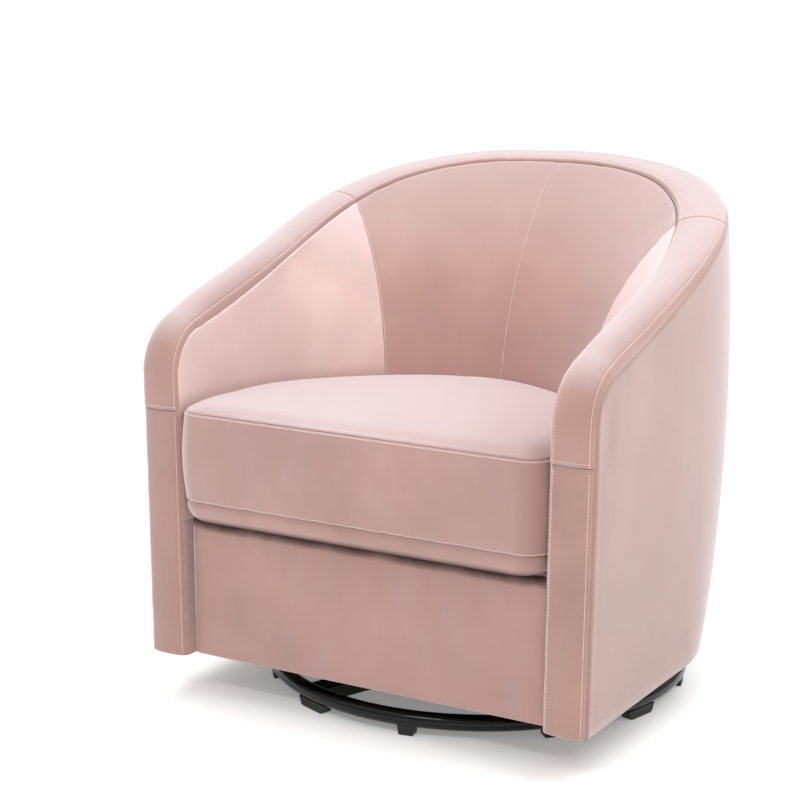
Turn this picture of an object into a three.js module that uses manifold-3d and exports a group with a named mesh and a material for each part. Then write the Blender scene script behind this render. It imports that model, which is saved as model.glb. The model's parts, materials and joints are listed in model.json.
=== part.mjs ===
// Glider nursery chair: a padded barrel shell that turns on a steel ring base and glides fore and
// aft on four hanging links. Millimetres, +Z up, the sitter faces -Y and the floor is z = 0.
import * as THREE from 'three';
import { mergeVertices } from 'three/addons/utils/BufferGeometryUtils.js';
import Module from 'manifold-3d';

const wasm = await Module();
wasm.setup();

// ---------------------------------------------------------------- driving dimensions
const GAP = 0.3; // between pieces that touch

// Shell: outer surface
const SKIRT = 71; // height of the lower edge
const RIM_TOP = 790; // rim at the middle of the back
const RIM_FRONT = 561; // rim height carried forward to the arm fronts
const RIM_WAVE = 9; // the rim dips near the arms and swells near the back
const FRONT = -357.5; // plane of the arm fronts
const BACK = 357.5; // furthest back of the rim
const SIDE_LOW = 369.5; // half width at the lower edge
const SIDE_TOP = 379.5; // half width at the height of the back's rim
const BEND_LOW = -10; // where the straight sides start to turn, at the lower edge
const BEND_TOP = -70; // and at the rim
const BACK_TAPER = 20; // the back leans in towards the floor
const TUCK = 60; // the back turns under near its lower edge
const TUCK_REACH = 0.08; // share of the height over which it does so
const POWER_LOW = 2.11; // roundness of the outline, low and high, and its square middle
const POWER_TOP = 2.38;
const POWER_SWELL = 0.6;
const ARM_CORNER = 72; // radius from an arm's front up onto its top
const ARM_SLOPE = 0.25; // slope of the rim where that corner ends
const STEEPEST = 0.42; // steepest slope of the rim

// Shell: inner surface
const SEAT_LINE = 453; // height where the cushion's top meets the inside
const SEAT_HALF = 300; // half width between the arms
const SEAT_BEND = -230;
const SEAT_BACK = 88;
const SEAT_POWER = 1.83;
const SEAT_TWIST = THREE.MathUtils.degToRad(24); // how far the panels turn from rim to seat
const BORDER_FRONT = 69; // width of the rim's border strip at the arms
const BORDER_BACK = 82.5; // and at the back
const SEAM_TOP = 0.425; // station where an arm panel meets the back panel, at the rim
const SEAM_LOW = 0.393; // and at the seat
const SEAM_BEND = 3; // how late on its way up the seam turns outward
const FLARE = 2.6; // how late on its way up the inside turns outward
const FLARE_EVEN = 0.35; // share of the way out that it covers evenly

// Wooden frame
const POST_IN = 337; // inner face of the arm posts and side rails
const POST_W = 22;
const POST_DEEP = 40;
const ARM_POST_TOP = 500;
const SIDE_RAIL_TOP = 244;
const RIB_AT = 0.14; // stations of the ribs behind the back panel
const CORNER_RIB_AT = 0.44; // and near the side seams
const RIB_HALF_WIDTH = 0.028; // in stations

// Layers of the shell's wall, measured inward from its outer surface
const COVER_T = 8;
const FRAME_IN = 12;
const FRAME_OUT = 33;
const FOAM_T = 34;
const TOP_RAIL_H = 42;
const BORDER_T = 14;
const BORDER_REST = 16; // the wall's top edges stop this far under the rim
const BORDER_SOFT = 4; // rounding of the strip's two long edges
const BORDER_ROOM = 2; // the inside panels end this far under the strip
const PANEL_REST = 9; // and rise to this far under the rim where the strip isn't over them
const WALL_END = 0.99; // station where the walls meet the arm fronts
const ARM_FRONT_T = 19;
const ARM_FRONT_SOFT = 5;
const APRON_SET_BACK = 20;
const APRON_T = 12;

// Seat
const DECK_TOP = 288;
const DECK_T = 20;
const SPRING_Z = 264;
const RAIL_TOP = 261.5;
const RAIL_LOW = 76;
const BOARD_T = 20;
const BOARD_DEEP = 24;
const RAIL_DEEP = 22;
const SPRING_X = [-225, -75, 75, 225];
const SPRING_R = 1.9;
const SPRING_SWAY = 21;
const SPRING_WAVES = 9;
const CUSHION_LOW = 289;
const CUSHION_TOP = 474;
const CUSHION_FRONT = -355;
const CUSHION_CORNER = 30;
const CUSHION_MIDDLE = -160;
const DUST_LOW = 212;
const DUST_T = 1.4;

// Base
const SWIVEL_Y = 15;
const RING_R = 322.2; // to the middle of the tube
const TUBE_R = 12.5;
const RING_Z = 25;
const RING_STEPS = 60;
const TUBE_STEPS = 10;
const SPOKE_TURN = [-111, -13, 69, 167]; // degrees, two crossed bars welded to the ring
const SPOKE_W = 38;
const SPOKE_H = 20;
const FOOT_TURN = [-80, -42, 15, 41, 100, 138, 195, 221]; // small feet between the spokes
const SMALL_FOOT = [11, 14, 17]; // half length on the floor, half length at its top, height
const WIDE_FOOT = [25, 32, 14.7]; // the same for the foot under a spoke's end
const FOOT_DEEP = 27;
const HUB_R = 82;
const HUB_T = 5.5;
const RACE_R = 75;
const PIVOT_R = 7.7;
const PIVOT_HEAD = 13;

// Glide linkage
const LINK_L = 100;
const LOWER_Z = 95;
const UPPER_Z = LOWER_Z + LINK_L;
const LINK_HALF_SPAN = 125; // front and rear pivots either side of the swivel axis
const PIN_R = 6;
const PIN_HEAD = 9.5;
const HEAD_T = 3.5;
const PIN_HOLE = PIN_R + GAP;
const OPEN_HOLE = PIN_R + 0.8; // the rear lower eyes run with more room
const POST_X = 150;
const POST_T = 6;
const LINK_X = 159;
const LINK_T = 5;
const LINK_W = 26;
const POST_EYE = 14; // half width of a post at its eye
const POST_FOOT = 18; // and at the plate
const PLATE_HALF = 160;
const PLATE_REACH = 150;
const RAIL_X = 170;
const RAIL_T = 5;
const RAIL_HALF_H = 14;
const FLANGE_W = 35;
const TIE_Y = 190;
const TIE_R = 8;
const BUMPER_Y = 144; // face that a tie reaches at the end of the glide
const SUBFRAME_REACH = 199;
const RISER_W = 35;
const RISER_TOP = 214;
const PLATE_LOW = 57.6;
const PLATE_T = 5;

// ---------------------------------------------------------------- mesh helpers
const { lerp, degToRad } = THREE.MathUtils;
const sides = [-1, 1];

// Welded copy whose faces point outwards, whichever way its profile or mirror image ran.
function clean(geometry) {
  const bare = geometry.clone();
  bare.deleteAttribute('normal');
  bare.deleteAttribute('uv');
  const g = mergeVertices(bare, 1e-4);
  const p = g.attributes.position;
  const corner = [0, 1, 2].map(() => new THREE.Vector3());
  let volume = 0;
  for (let i = 0; i < g.index.count; i += 3) {
    corner.forEach((v, k) => v.fromBufferAttribute(p, g.index.getX(i + k)));
    volume += corner[0].dot(corner[1].cross(corner[2]));
  }
  if (volume < 0) g.index.array.reverse();
  return g;
}

function toManifold(geometry) {
  const g = clean(geometry);
  return new wasm.Manifold(new wasm.Mesh({
    numProp: 3,
    vertProperties: new Float32Array(g.attributes.position.array),
    triVerts: new Uint32Array(g.index.array),
  }));
}

function fromManifold(solid) {
  const mesh = solid.getMesh();
  const g = new THREE.BufferGeometry();
  g.setAttribute('position', new THREE.BufferAttribute(new Float32Array(mesh.vertProperties), 3));
  g.setIndex(new THREE.BufferAttribute(new Uint32Array(mesh.triVerts), 1));
  return g;
}

const join = (...parts) => fromManifold(parts.map(toManifold).reduce((a, b) => a.add(b)));

function cut(body, ...tools) {
  const cutters = tools.map(toManifold);
  return fromManifold(cutters.reduce((a, b) => a.subtract(b), toManifold(body)));
}

function triangles(points, faces) {
  const g = new THREE.BufferGeometry();
  g.setAttribute('position', new THREE.Float32BufferAttribute(points.flatMap((p) => [p.x, p.y, p.z]), 3));
  g.setIndex(faces.flat());
  return g;
}

// Stations are slices of a wall. Each slice has an outer and an inner edge with the same number of
// points, and the two ends are closed across those edges.
function wallLoft(stations) {
  const m = stations[0].outer.length;
  const count = 2 * m;
  const points = stations.flatMap((s) => [...s.outer, ...[...s.inner].reverse()]);
  const faces = [];
  for (let i = 0; i + 1 < stations.length; i += 1) {
    for (let j = 0; j < count; j += 1) {
      const a = i * count + j;
      const b = i * count + ((j + 1) % count);
      faces.push([a, b, b + count], [a, b + count, a + count]);
    }
  }
  const last = (stations.length - 1) * count;
  for (let j = 0; j + 1 < m; j += 1) {
    const k = count - 1 - j;
    faces.push([j, k, k - 1], [j, k - 1, j + 1]);
    faces.push([last + j, last + k - 1, last + k], [last + j, last + j + 1, last + k - 1]);
  }
  return triangles(points, faces);
}

// Closed loops stacked one above the other, closed below and above by a fan to the loop's middle.
function stackLoft(loops) {
  const n = loops[0].length;
  const points = loops.flat();
  const faces = [];
  for (let i = 0; i + 1 < loops.length; i += 1) {
    for (let j = 0; j < n; j += 1) {
      const a = i * n + j;
      const b = i * n + ((j + 1) % n);
      faces.push([a, b, b + n], [a, b + n, a + n]);
    }
  }
  const ends = [0, loops.length - 1];
  ends.forEach((level) => {
    const middle = new THREE.Vector3();
    loops[level].forEach((p) => middle.add(p));
    points.push(middle.divideScalar(n));
    for (let j = 0; j < n; j += 1) {
      const a = level * n + j;
      const b = level * n + ((j + 1) % n);
      faces.push(level ? [points.length - 1, a, b] : [points.length - 1, b, a]);
    }
  });
  return triangles(points, faces);
}

function block(x0, x1, y0, y1, z0, z1) {
  const g = new THREE.BoxGeometry(Math.abs(x1 - x0), y1 - y0, z1 - z0);
  return g.translate((x0 + x1) / 2, (y0 + y1) / 2, (z0 + z1) / 2);
}

// Turned piece: profile points are [radius, distance along the axis], both ends on the axis.
function turned(profile, steps = 12) {
  return new THREE.LatheGeometry(profile.map(([r, h]) => new THREE.Vector2(r, h)), steps);
}

const alongZ = (g, x, y, z) => g.rotateX(Math.PI / 2).translate(x, y, z);
const alongX = (g, x, y, z) => g.rotateZ(-Math.PI / 2).translate(x, y, z);

// Flat plate in the YZ plane, from x0 outward by its thickness. Shapes are drawn in (y, z).
function sidePlate(shape, thickness, x0) {
  const g = new THREE.ExtrudeGeometry(shape, { depth: thickness, bevelEnabled: false, curveSegments: 8 });
  return g.rotateX(Math.PI / 2).rotateZ(Math.PI / 2).translate(x0, 0, 0);
}

function hole(shape, y, z, r) {
  const path = new THREE.Path();
  path.absarc(y, z, r, 0, 2 * Math.PI, true);
  shape.holes.push(path);
}

// ---------------------------------------------------------------- the shell's surfaces
const STRAIGHT_FROM = 0.62; // stations run from 0 at the middle of the back to 1 at an arm front

function outline(z) {
  const h = (z - SKIRT) / (RIM_TOP - SKIRT);
  return {
    half: lerp(SIDE_LOW, SIDE_TOP, h),
    bend: lerp(BEND_LOW, BEND_TOP, h),
    back: BACK - BACK_TAPER * (1 - h) - TUCK * Math.exp(-h / TUCK_REACH),
    power: lerp(POWER_LOW, POWER_TOP, h) + POWER_SWELL * Math.sin(Math.PI * h),
  };
}

const seatOutline = { half: SEAT_HALF, bend: SEAT_BEND, back: SEAT_BACK, power: SEAT_POWER };

// Point of an outline at a station. The sign of the station is the side of the chair.
function onOutline(o, station, twist = 0) {
  const side = Math.sign(station) || 1;
  const s = Math.abs(station);
  if (s >= STRAIGHT_FROM) {
    const share = (s - STRAIGHT_FROM) / (1 - STRAIGHT_FROM);
    return new THREE.Vector2(side * o.half, lerp(o.bend, FRONT, share));
  }
  const even = (1 - s / STRAIGHT_FROM) * Math.PI / 2;
  const turn = even + twist * Math.sin(2 * even);
  const deep = o.back - o.bend;
  const sum = (Math.cos(turn) / o.half) ** o.power + (Math.sin(turn) / deep) ** o.power;
  const r = sum ** (-1 / o.power);
  return new THREE.Vector2(side * r * Math.cos(turn), o.bend + r * Math.sin(turn));
}

// The same point moved inward, level, by a distance.
function inward(o, station, distance, twist = 0) {
  const step = 0.004;
  const a = onOutline(o, station - step, twist);
  const b = onOutline(o, station + step, twist);
  const along = b.sub(a).normalize();
  const p = onOutline(o, station, twist);
  return p.set(p.x + along.y * distance, p.y - along.x * distance);
}

function rimAt(y) {
  const u = (y - FRONT) / (BACK - FRONT);
  return lerp(RIM_FRONT, RIM_TOP, u) - RIM_WAVE * Math.sin(2 * Math.PI * u);
}

const CORNER_Y = FRONT + ARM_CORNER;
const CORNER_Z = RIM_FRONT + ARM_SLOPE * ARM_CORNER - ARM_CORNER * Math.hypot(1, ARM_SLOPE);
const CORNER_TURN = Math.atan(ARM_SLOPE);
const CORNER_END = CORNER_Y - ARM_CORNER * Math.sin(CORNER_TURN);

// Height of the rim at a station, or of a surface a little below it.
function rimHeight(station, below = 0) {
  let z = RIM_TOP;
  for (let i = 0; i < 6; i += 1) {
    const { y } = onOutline(outline(z), station);
    if (y < CORNER_END) {
      const r = ARM_CORNER - below;
      z = CORNER_Z + Math.sqrt(Math.max(r * r - (CORNER_Y - y) ** 2, 0));
    } else {
      z = rimAt(y) - below * Math.hypot(1, STEEPEST);
    }
  }
  return z;
}

const level = (p, z) => new THREE.Vector3(p.x, p.y, z);

function outerPoint(station, z, depth = 0) {
  return level(inward(outline(z), station, depth), z);
}

function borderWidth(station) {
  const u = (onOutline(outline(RIM_TOP), station).y - FRONT) / (BACK - FRONT);
  return lerp(BORDER_FRONT, BORDER_BACK, u);
}

// Point of the inner surface: upright below the seat line, then flaring out to the rim.
function innerPoint(station, z, depth = 0) {
  const seat = inward(seatOutline, station, -depth, SEAT_TWIST);
  const rim = rimHeight(station);
  if (z <= SEAT_LINE) return level(seat, z);
  const high = inward(outline(rim), station, borderWidth(station) - depth);
  const t = (z - SEAT_LINE) / (rim - SEAT_LINE);
  const flare = FLARE_EVEN * t + (1 - FLARE_EVEN) * t ** FLARE;
  return level(seat.lerp(high, flare), z);
}

function stationsBetween(from, to, count) {
  return Array.from({ length: count + 1 }, (_, i) => lerp(from, to, i / count));
}

// Station on a side's straight part at a given y.
function stationAt(y, z) {
  const { bend } = outline(z);
  return lerp(STRAIGHT_FROM, 1, (y - bend) / (FRONT - bend));
}

// ---------------------------------------------------------------- base
function torus(tube) {
  const g = new THREE.TorusGeometry(RING_R, tube, TUBE_STEPS, RING_STEPS);
  return g.translate(0, SWIVEL_Y, RING_Z);
}

function pivotBore() {
  const bore = new THREE.CylinderGeometry(PIVOT_R + GAP, PIVOT_R + GAP, 120, 24);
  return alongZ(bore, 0, SWIVEL_Y, 30);
}

const aroundSwivel = (g, degrees) => g.rotateZ(degToRad(degrees)).translate(0, SWIVEL_Y, 0);

function baseCross() {
  const low = RING_Z - SPOKE_H / 2;
  const high = low + SPOKE_H;
  const bars = SPOKE_TURN.map((turn) => {
    const bar = block(-SPOKE_W / 4, RING_R, -SPOKE_W / 2, SPOKE_W / 2, low, high);
    return aroundSwivel(bar, turn);
  });
  const plate = new THREE.CylinderGeometry(HUB_R, HUB_R, HUB_T, 36);
  const hub = alongZ(plate, 0, SWIVEL_Y, high + HUB_T / 2 - 0.5);
  return cut(join(...bars, hub), pivotBore(), torus(TUBE_R + GAP));
}

// Foot under the ring, narrower on the floor than at its top.
function foot(turn, [halfLow, halfHigh, high]) {
  const corners = [[-halfLow, 0], [halfLow, 0], [halfHigh, high], [-halfHigh, high]];
  const shape = new THREE.Shape(corners.map(([x, z]) => new THREE.Vector2(x, z)));
  const g = new THREE.ExtrudeGeometry(shape, { depth: FOOT_DEEP, bevelEnabled: false });
  g.translate(0, 0, -FOOT_DEEP / 2).rotateX(Math.PI / 2).rotateZ(Math.PI / 2).translate(RING_R, 0, 0);
  return cut(aroundSwivel(g, turn), torus(TUBE_R + GAP));
}

function washer(low, high, outer, bore) {
  const profile = [[bore, low], [outer, low], [outer, high], [bore, high], [bore, low]];
  return turned(profile, 24).rotateX(Math.PI / 2).translate(0, SWIVEL_Y, 0);
}

function ballRing() {
  const g = new THREE.TorusGeometry(60, 3.2, 6, 28);
  return g.translate(0, SWIVEL_Y, 48.9);
}

function swivelPivot() {
  const [under, over] = [RING_Z - SPOKE_H / 2 - 0.5, PLATE_LOW + PLATE_T + 0.6];
  const head = PIVOT_HEAD;
  const profile = [
    [0, under - 7.5], [head, under - 7.5], [head, under], [PIVOT_R, under],
    [PIVOT_R, over], [head, over], [head, over + 7.8], [0, over + 7.8],
  ];
  return turned(profile, 24).rotateX(Math.PI / 2).translate(0, SWIVEL_Y, 0);
}

// ---------------------------------------------------------------- glide linkage
const pivotY = { front: SWIVEL_Y - LINK_HALF_SPAN, rear: SWIVEL_Y + LINK_HALF_SPAN };

function carrier() {
  const high = PLATE_LOW + PLATE_T;
  const [y0, y1] = [SWIVEL_Y - PLATE_REACH, SWIVEL_Y + PLATE_REACH];
  const plate = block(-PLATE_HALF, PLATE_HALF, y0, y1, PLATE_LOW, high);
  const posts = sides.flatMap((side) => Object.values(pivotY).map((y) => {
    const shape = new THREE.Shape();
    shape.moveTo(y - POST_FOOT, high - 1).lineTo(y + POST_FOOT, high - 1).lineTo(y + POST_EYE, UPPER_Z);
    shape.absarc(y, UPPER_Z, POST_EYE, 0, Math.PI, false);
    hole(shape, y, UPPER_Z, PIN_HOLE);
    return sidePlate(shape, POST_T, side > 0 ? POST_X : -POST_X - POST_T);
  }));
  return cut(join(plate, ...posts), pivotBore());
}

// Through rod with a shoulder between each post and link, and a head outside each link.
function upperRod(y) {
  const shoulder = POST_X + POST_T + GAP;
  const head = LINK_X + LINK_T + GAP;
  const half = [
    [PIN_R, shoulder], [PIN_HEAD, shoulder], [PIN_HEAD, LINK_X - GAP], [PIN_R, LINK_X - GAP],
    [PIN_R, head], [PIN_HEAD, head], [PIN_HEAD, head + HEAD_T], [0, head + HEAD_T],
  ];
  const mirrored = half.map(([r, h]) => [r, -h]).reverse();
  return alongX(turned([...mirrored, ...half]), 0, y, UPPER_Z);
}

function lowerPin(side, y) {
  const [start, end] = [POST_X + POST_T + 0.5, RAIL_X + RAIL_T + GAP];
  const linkOut = LINK_X + LINK_T + GAP;
  const profile = [
    [0, start], [PIN_HEAD, start], [PIN_HEAD, LINK_X - GAP], [PIN_R, LINK_X - GAP],
    [PIN_R, linkOut], [PIN_HEAD, linkOut], [PIN_HEAD, RAIL_X - GAP], [PIN_R, RAIL_X - GAP],
    [PIN_R, end], [PIN_HEAD, end], [PIN_HEAD, end + HEAD_T], [0, end + HEAD_T],
  ];
  return alongX(turned(profile), 0, 0, 0).scale(side, 1, 1).translate(0, y, LOWER_Z);
}

function swingLink(side, y, lowerHole) {
  const r = LINK_W / 2;
  const shape = new THREE.Shape();
  shape.absarc(y, UPPER_Z, r, 0, Math.PI, false);
  shape.absarc(y, LOWER_Z, r, Math.PI, 2 * Math.PI, false);
  hole(shape, y, UPPER_Z, PIN_HOLE);
  hole(shape, y, LOWER_Z, lowerHole);
  return sidePlate(shape, LINK_T, side > 0 ? LINK_X : -LINK_X - LINK_T);
}

// Two rails that hang on the links, tied front and rear, with risers up to the wooden frame.
function seatSubframe() {
  const [y0, y1] = [SWIVEL_Y - SUBFRAME_REACH, SWIVEL_Y + SUBFRAME_REACH];
  const [low, high] = [LOWER_Z - RAIL_HALF_H, LOWER_Z + RAIL_HALF_H];
  const parts = sides.flatMap((side) => {
    const shape = new THREE.Shape();
    shape.moveTo(y0, low).lineTo(y1, low).lineTo(y1, RISER_TOP).lineTo(y1 - RISER_W, RISER_TOP);
    shape.lineTo(y1 - RISER_W, high).lineTo(y0 + RISER_W, high);
    shape.lineTo(y0 + RISER_W, RISER_TOP).lineTo(y0, RISER_TOP);
    Object.values(pivotY).forEach((y) => hole(shape, y, LOWER_Z, PIN_HOLE));
    const flanges = [y0, y1 - RISER_W].map((y) => {
      const x = side * (RAIL_X + 1 + FLANGE_W / 2);
      return block(x - FLANGE_W / 2, x + FLANGE_W / 2, y, y + RISER_W, RISER_TOP - RAIL_T, RISER_TOP);
    });
    return [sidePlate(shape, RAIL_T, side > 0 ? RAIL_X : -RAIL_X - RAIL_T), ...flanges];
  });
  const ties = sides.map((side) => {
    const tie = new THREE.CylinderGeometry(TIE_R, TIE_R, 2 * RAIL_X + 4, 14);
    return alongX(tie, 0, SWIVEL_Y + side * TIE_Y, LOWER_Z);
  });
  return join(...parts, ...ties);
}

// Rubber stop that a tie of the subframe reaches at the end of the glide.
function glideBumper(side) {
  const low = PLATE_LOW + PLATE_T + GAP;
  const [back, foot, face] = [BUMPER_Y - 22, BUMPER_Y - 5, BUMPER_Y];
  const corners = [[back, low], [foot, low], [foot, 82], [face, 88], [face, 104], [back, 104]];
  const shape = new THREE.Shape(corners.map(([y, z]) => new THREE.Vector2(SWIVEL_Y + side * y, z)));
  return sidePlate(shape, 40, -20);
}

// ---------------------------------------------------------------- wooden frame
const apronFace = FRONT + APRON_SET_BACK;
const frontRailFace = apronFace + APRON_T + GAP;
const postFace = FRONT + ARM_FRONT_T + GAP;
const frontRailBack = frontRailFace + RAIL_DEEP;
const postBack = postFace + POST_DEEP;
const railX = POST_IN - GAP;
const railZ = RISER_TOP + GAP;

function armPost(side) {
  const x = side * (POST_IN + POST_W / 2);
  return block(x - POST_W / 2, x + POST_W / 2, postFace, postBack, RAIL_LOW, ARM_POST_TOP);
}

function sideRail(side) {
  const x = side * (POST_IN + POST_W / 2);
  return block(x - POST_W / 2, x + POST_W / 2, postBack + GAP, -2, RAIL_LOW, SIDE_RAIL_TOP);
}

function topRail() {
  const first = stationAt(postBack + 4, RIM_FRONT);
  return wallLoft(stationsBetween(-first, first, 44).map((s) => {
    const high = rimHeight(s, BORDER_REST);
    const heights = [high - TOP_RAIL_H, high];
    return {
      outer: heights.map((z) => outerPoint(s, z, FRAME_IN)),
      inner: heights.map((z) => outerPoint(s, z, FRAME_OUT)),
    };
  }));
}

function baseBoard() {
  const first = stationAt(4, SKIRT);
  const heights = [RAIL_LOW, RAIL_LOW + BOARD_T];
  return wallLoft(stationsBetween(-first, first, 32).map((s) => ({
    outer: heights.map((z) => outerPoint(s, z, FRAME_IN)),
    inner: heights.map((z) => outerPoint(s, z, FRAME_IN + BOARD_DEEP)),
  })));
}

// Heights where the cover's upright profile changes; ribs inside it bend at the same ones.
const coverHeights = [SKIRT, SKIRT + 22, SKIRT + 55, 190, 330, 450];

function backRib(station) {
  const width = RIB_HALF_WIDTH;
  const low = RAIL_LOW + BOARD_T + GAP;
  return wallLoft([station - width, station, station + width].map((s) => {
    const high = rimHeight(s, BORDER_REST) - TOP_RAIL_H - 6;
    const heights = [low, ...coverHeights.slice(2), high];
    return {
      outer: heights.map((z) => outerPoint(s, z, FRAME_IN + 1.5)),
      inner: heights.map((z) => outerPoint(s, z, FRAME_OUT)),
    };
  }));
}

function springWire(x) {
  const start = frontRailFace + 4;
  const end = 190;
  const steps = SPRING_WAVES * 4;
  const points = Array.from({ length: steps + 1 }, (_, i) => {
    const sway = SPRING_SWAY * Math.sin(i * Math.PI / 2);
    return new THREE.Vector3(x + sway, lerp(start, end, i / steps), SPRING_Z);
  });
  const corners = [0, 1, 2, 3, 4, 5].map((k) => {
    const a = k * Math.PI / 3;
    return new THREE.Vector2(SPRING_R * Math.cos(a), SPRING_R * Math.sin(a));
  });
  const path = new THREE.CatmullRomCurve3(points);
  const section = new THREE.Shape(corners);
  return new THREE.ExtrudeGeometry(section, { steps: SPRING_WAVES * 5, extrudePath: path });
}

// ---------------------------------------------------------------- upholstery
// Border strip: up an arm's front, round its corner, round the rim, and down the other arm. Each
// slice is drawn by its own function from the strip's two edges.
function borderLoft(slice) {
  const half = [[FRONT, SEAT_LINE + GAP], [FRONT, CORNER_Z]];
  const turns = 5;
  for (let i = 1; i < turns; i += 1) {
    const a = lerp(Math.PI, Math.PI / 2 + CORNER_TURN, i / turns);
    half.push([CORNER_Y + ARM_CORNER * Math.cos(a), CORNER_Z + ARM_CORNER * Math.sin(a)]);
  }
  const edges = half.map(([y, z]) => {
    const { half: x } = outline(z);
    return { out: new THREE.Vector3(x, y, z), in: new THREE.Vector3(x - BORDER_FRONT, y, z) };
  });
  const last = stationAt(CORNER_END, RIM_FRONT);
  stationsBetween(last, 0, 20).forEach((s) => {
    const z = rimHeight(s);
    edges.push({ out: outerPoint(s, z), in: outerPoint(s, z, borderWidth(s)) });
  });
  const flip = new THREE.Vector3(-1, 1, 1);
  const mirrored = edges.slice(0, -1).reverse().map((e) => ({
    out: e.out.clone().multiply(flip),
    in: e.in.clone().multiply(flip),
  }));
  const all = [...edges, ...mirrored];
  const middle = all.map((e) => e.out.clone().add(e.in));
  return wallLoft(all.map((e, i) => {
    const along = middle[Math.min(i + 1, all.length - 1)].clone().sub(middle[Math.max(i - 1, 0)]);
    const across = e.in.clone().sub(e.out).normalize();
    const down = across.clone().cross(along).normalize();
    const at = (edge, over, under) => {
      const moved = edge.clone().addScaledVector(across, over);
      return moved.addScaledVector(down, under);
    };
    return slice(at, e);
  }));
}

function rimBorder() {
  const soft = BORDER_SOFT;
  return borderLoft((at, e) => ({
    outer: [at(e.out, 0, BORDER_T), at(e.out, 0, soft), at(e.out, soft, 0)],
    inner: [at(e.in, 0, BORDER_T), at(e.in, 0, soft), at(e.in, -soft, 0)],
  }));
}

// Space kept clear for the border, above the tops of the inside panels.
function borderRoom() {
  const [under, over, spread] = [BORDER_T + BORDER_ROOM, -60, 30];
  return borderLoft((at, e) => ({
    outer: [at(e.out, -spread, under), at(e.out, -spread, over)],
    inner: [at(e.in, spread, under), at(e.in, spread, over)],
  }));
}

// Everything in front of the arm posts.
function frontTrim() {
  const [wide, high] = [2 * SIDE_TOP, RIM_TOP + 100];
  return block(-wide, wide, FRONT - 60, postFace, 0, high);
}

function outerCover() {
  const wall = wallLoft(stationsBetween(-WALL_END, WALL_END, 44).map((s) => {
    const heights = [...coverHeights, rimHeight(s, BORDER_REST)];
    return {
      outer: heights.map((z) => outerPoint(s, z)),
      inner: heights.map((z) => outerPoint(s, z, COVER_T)),
    };
  }));
  return cut(wall, frontTrim());
}

// Station of the right side seam at a share of the way up from the seat to the rim.
const sideSeam = (t) => lerp(SEAM_LOW, SEAM_TOP, t ** SEAM_BEND);
const seamSlit = 0.001; // half the gap between two panels, in stations

// Panel between two edges, each given as a station for a share of the way up.
function insidePanel(from, to, count) {
  const low = DECK_TOP - DECK_T;
  const wall = wallLoft(stationsBetween(0, 1, count).map((u) => {
    const rows = [0, 0.3, 0.55, 0.75, 0.9, 1].map((t) => {
      const s = lerp(from(t), to(t), u);
      return [s, lerp(SEAT_LINE, rimHeight(s, PANEL_REST), t)];
    });
    rows.unshift([rows[0][0], low]);
    return {
      outer: rows.map(([s, z]) => innerPoint(s, z, FOAM_T)),
      inner: rows.map(([s, z]) => innerPoint(s, z)),
    };
  }));
  return cut(wall, frontTrim(), borderRoom());
}

const insideBack = () => insidePanel((t) => seamSlit - sideSeam(t), (t) => sideSeam(t) - seamSlit, 22);

function insideArm(side) {
  const atSeam = (t) => side * (sideSeam(t) + seamSlit);
  const atFront = () => side * WALL_END;
  return side > 0 ? insidePanel(atSeam, atFront, 14) : insidePanel(atFront, atSeam, 14);
}

function armFront(side) {
  const low = outline(SKIRT).half;
  const high = outline(SEAT_LINE).half;
  const soft = ARM_FRONT_SOFT;
  const loop = (z, x) => [
    [x - BORDER_FRONT, postFace - GAP], [x - BORDER_FRONT, FRONT + soft], [x - BORDER_FRONT + soft, FRONT],
    [x - soft, FRONT], [x, FRONT + soft], [x, postFace - GAP],
  ].map(([px, py]) => new THREE.Vector3(side * px, py, z));
  return stackLoft([loop(SKIRT, low), loop(SEAT_LINE, high)]);
}

function apron() {
  return block(-SEAT_HALF + 0.5, SEAT_HALF - 0.5, apronFace, apronFace + APRON_T, SKIRT, DECK_TOP);
}

// Loop of the space between the arms, closed across the front, set in all round.
function seatLoop(setIn, z, front, corner) {
  const back = stationsBetween(-0.75, 0.75, 30).map((s) => inward(seatOutline, s, setIn, SEAT_TWIST));
  const x = SEAT_HALF - setIn;
  const r = corner;
  const arc = [0, 0.25, 0.5, 0.75, 1].map((t) => t * Math.PI / 2);
  const y = front + setIn;
  const right = arc.map((a) => new THREE.Vector2(x - r + r * Math.cos(a), y + r - r * Math.sin(a)));
  const left = arc.map((a) => new THREE.Vector2(-x + r - r * Math.sin(a), y + r - r * Math.cos(a)));
  return [...back, ...right, ...left].map((p) => level(p, z));
}

function seatDeck() {
  const front = frontRailFace - 2;
  return stackLoft([DECK_TOP - DECK_T, DECK_TOP].map((z) => seatLoop(2, z, front, 3)));
}

function seatCushion() {
  const low = CUSHION_LOW;
  const edges = [[14, low], [4, low + 8], [2, low + 24], [2, SEAT_LINE - 13], [5, SEAT_LINE]];
  const loops = edges.map(([setIn, z]) => seatLoop(setIn, z, CUSHION_FRONT - 2, CUSHION_CORNER));
  const seam = loops[loops.length - 1];
  const crown = [[0.92, 0.5], [0.75, 0.83], [0.45, 1]]; // share of the outline, share of the rise
  crown.forEach(([share, rise]) => {
    const z = lerp(SEAT_LINE, CUSHION_TOP, rise);
    loops.push(seam.map((p) => new THREE.Vector3(p.x * share, lerp(CUSHION_MIDDLE, p.y, share), z)));
  });
  return stackLoft(loops);
}

function dustCover() {
  const [low, high] = [DUST_LOW, DUST_LOW + DUST_T];
  const end = SWIVEL_Y + SUBFRAME_REACH - RISER_W - 2;
  const front = block(-POST_IN + 1, POST_IN - 1, frontRailBack + 1, 78, low, high);
  const rear = block(-250, 250, 70, end, low, high);
  const notches = sides.map((side) => {
    const x = side * (RAIL_X + 18);
    const y = SWIVEL_Y - SUBFRAME_REACH;
    return block(x - 21, x + 21, y - 3, y + RISER_W + 3, low - 5, high + 5);
  });
  return cut(join(front, rear), ...notches);
}

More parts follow.
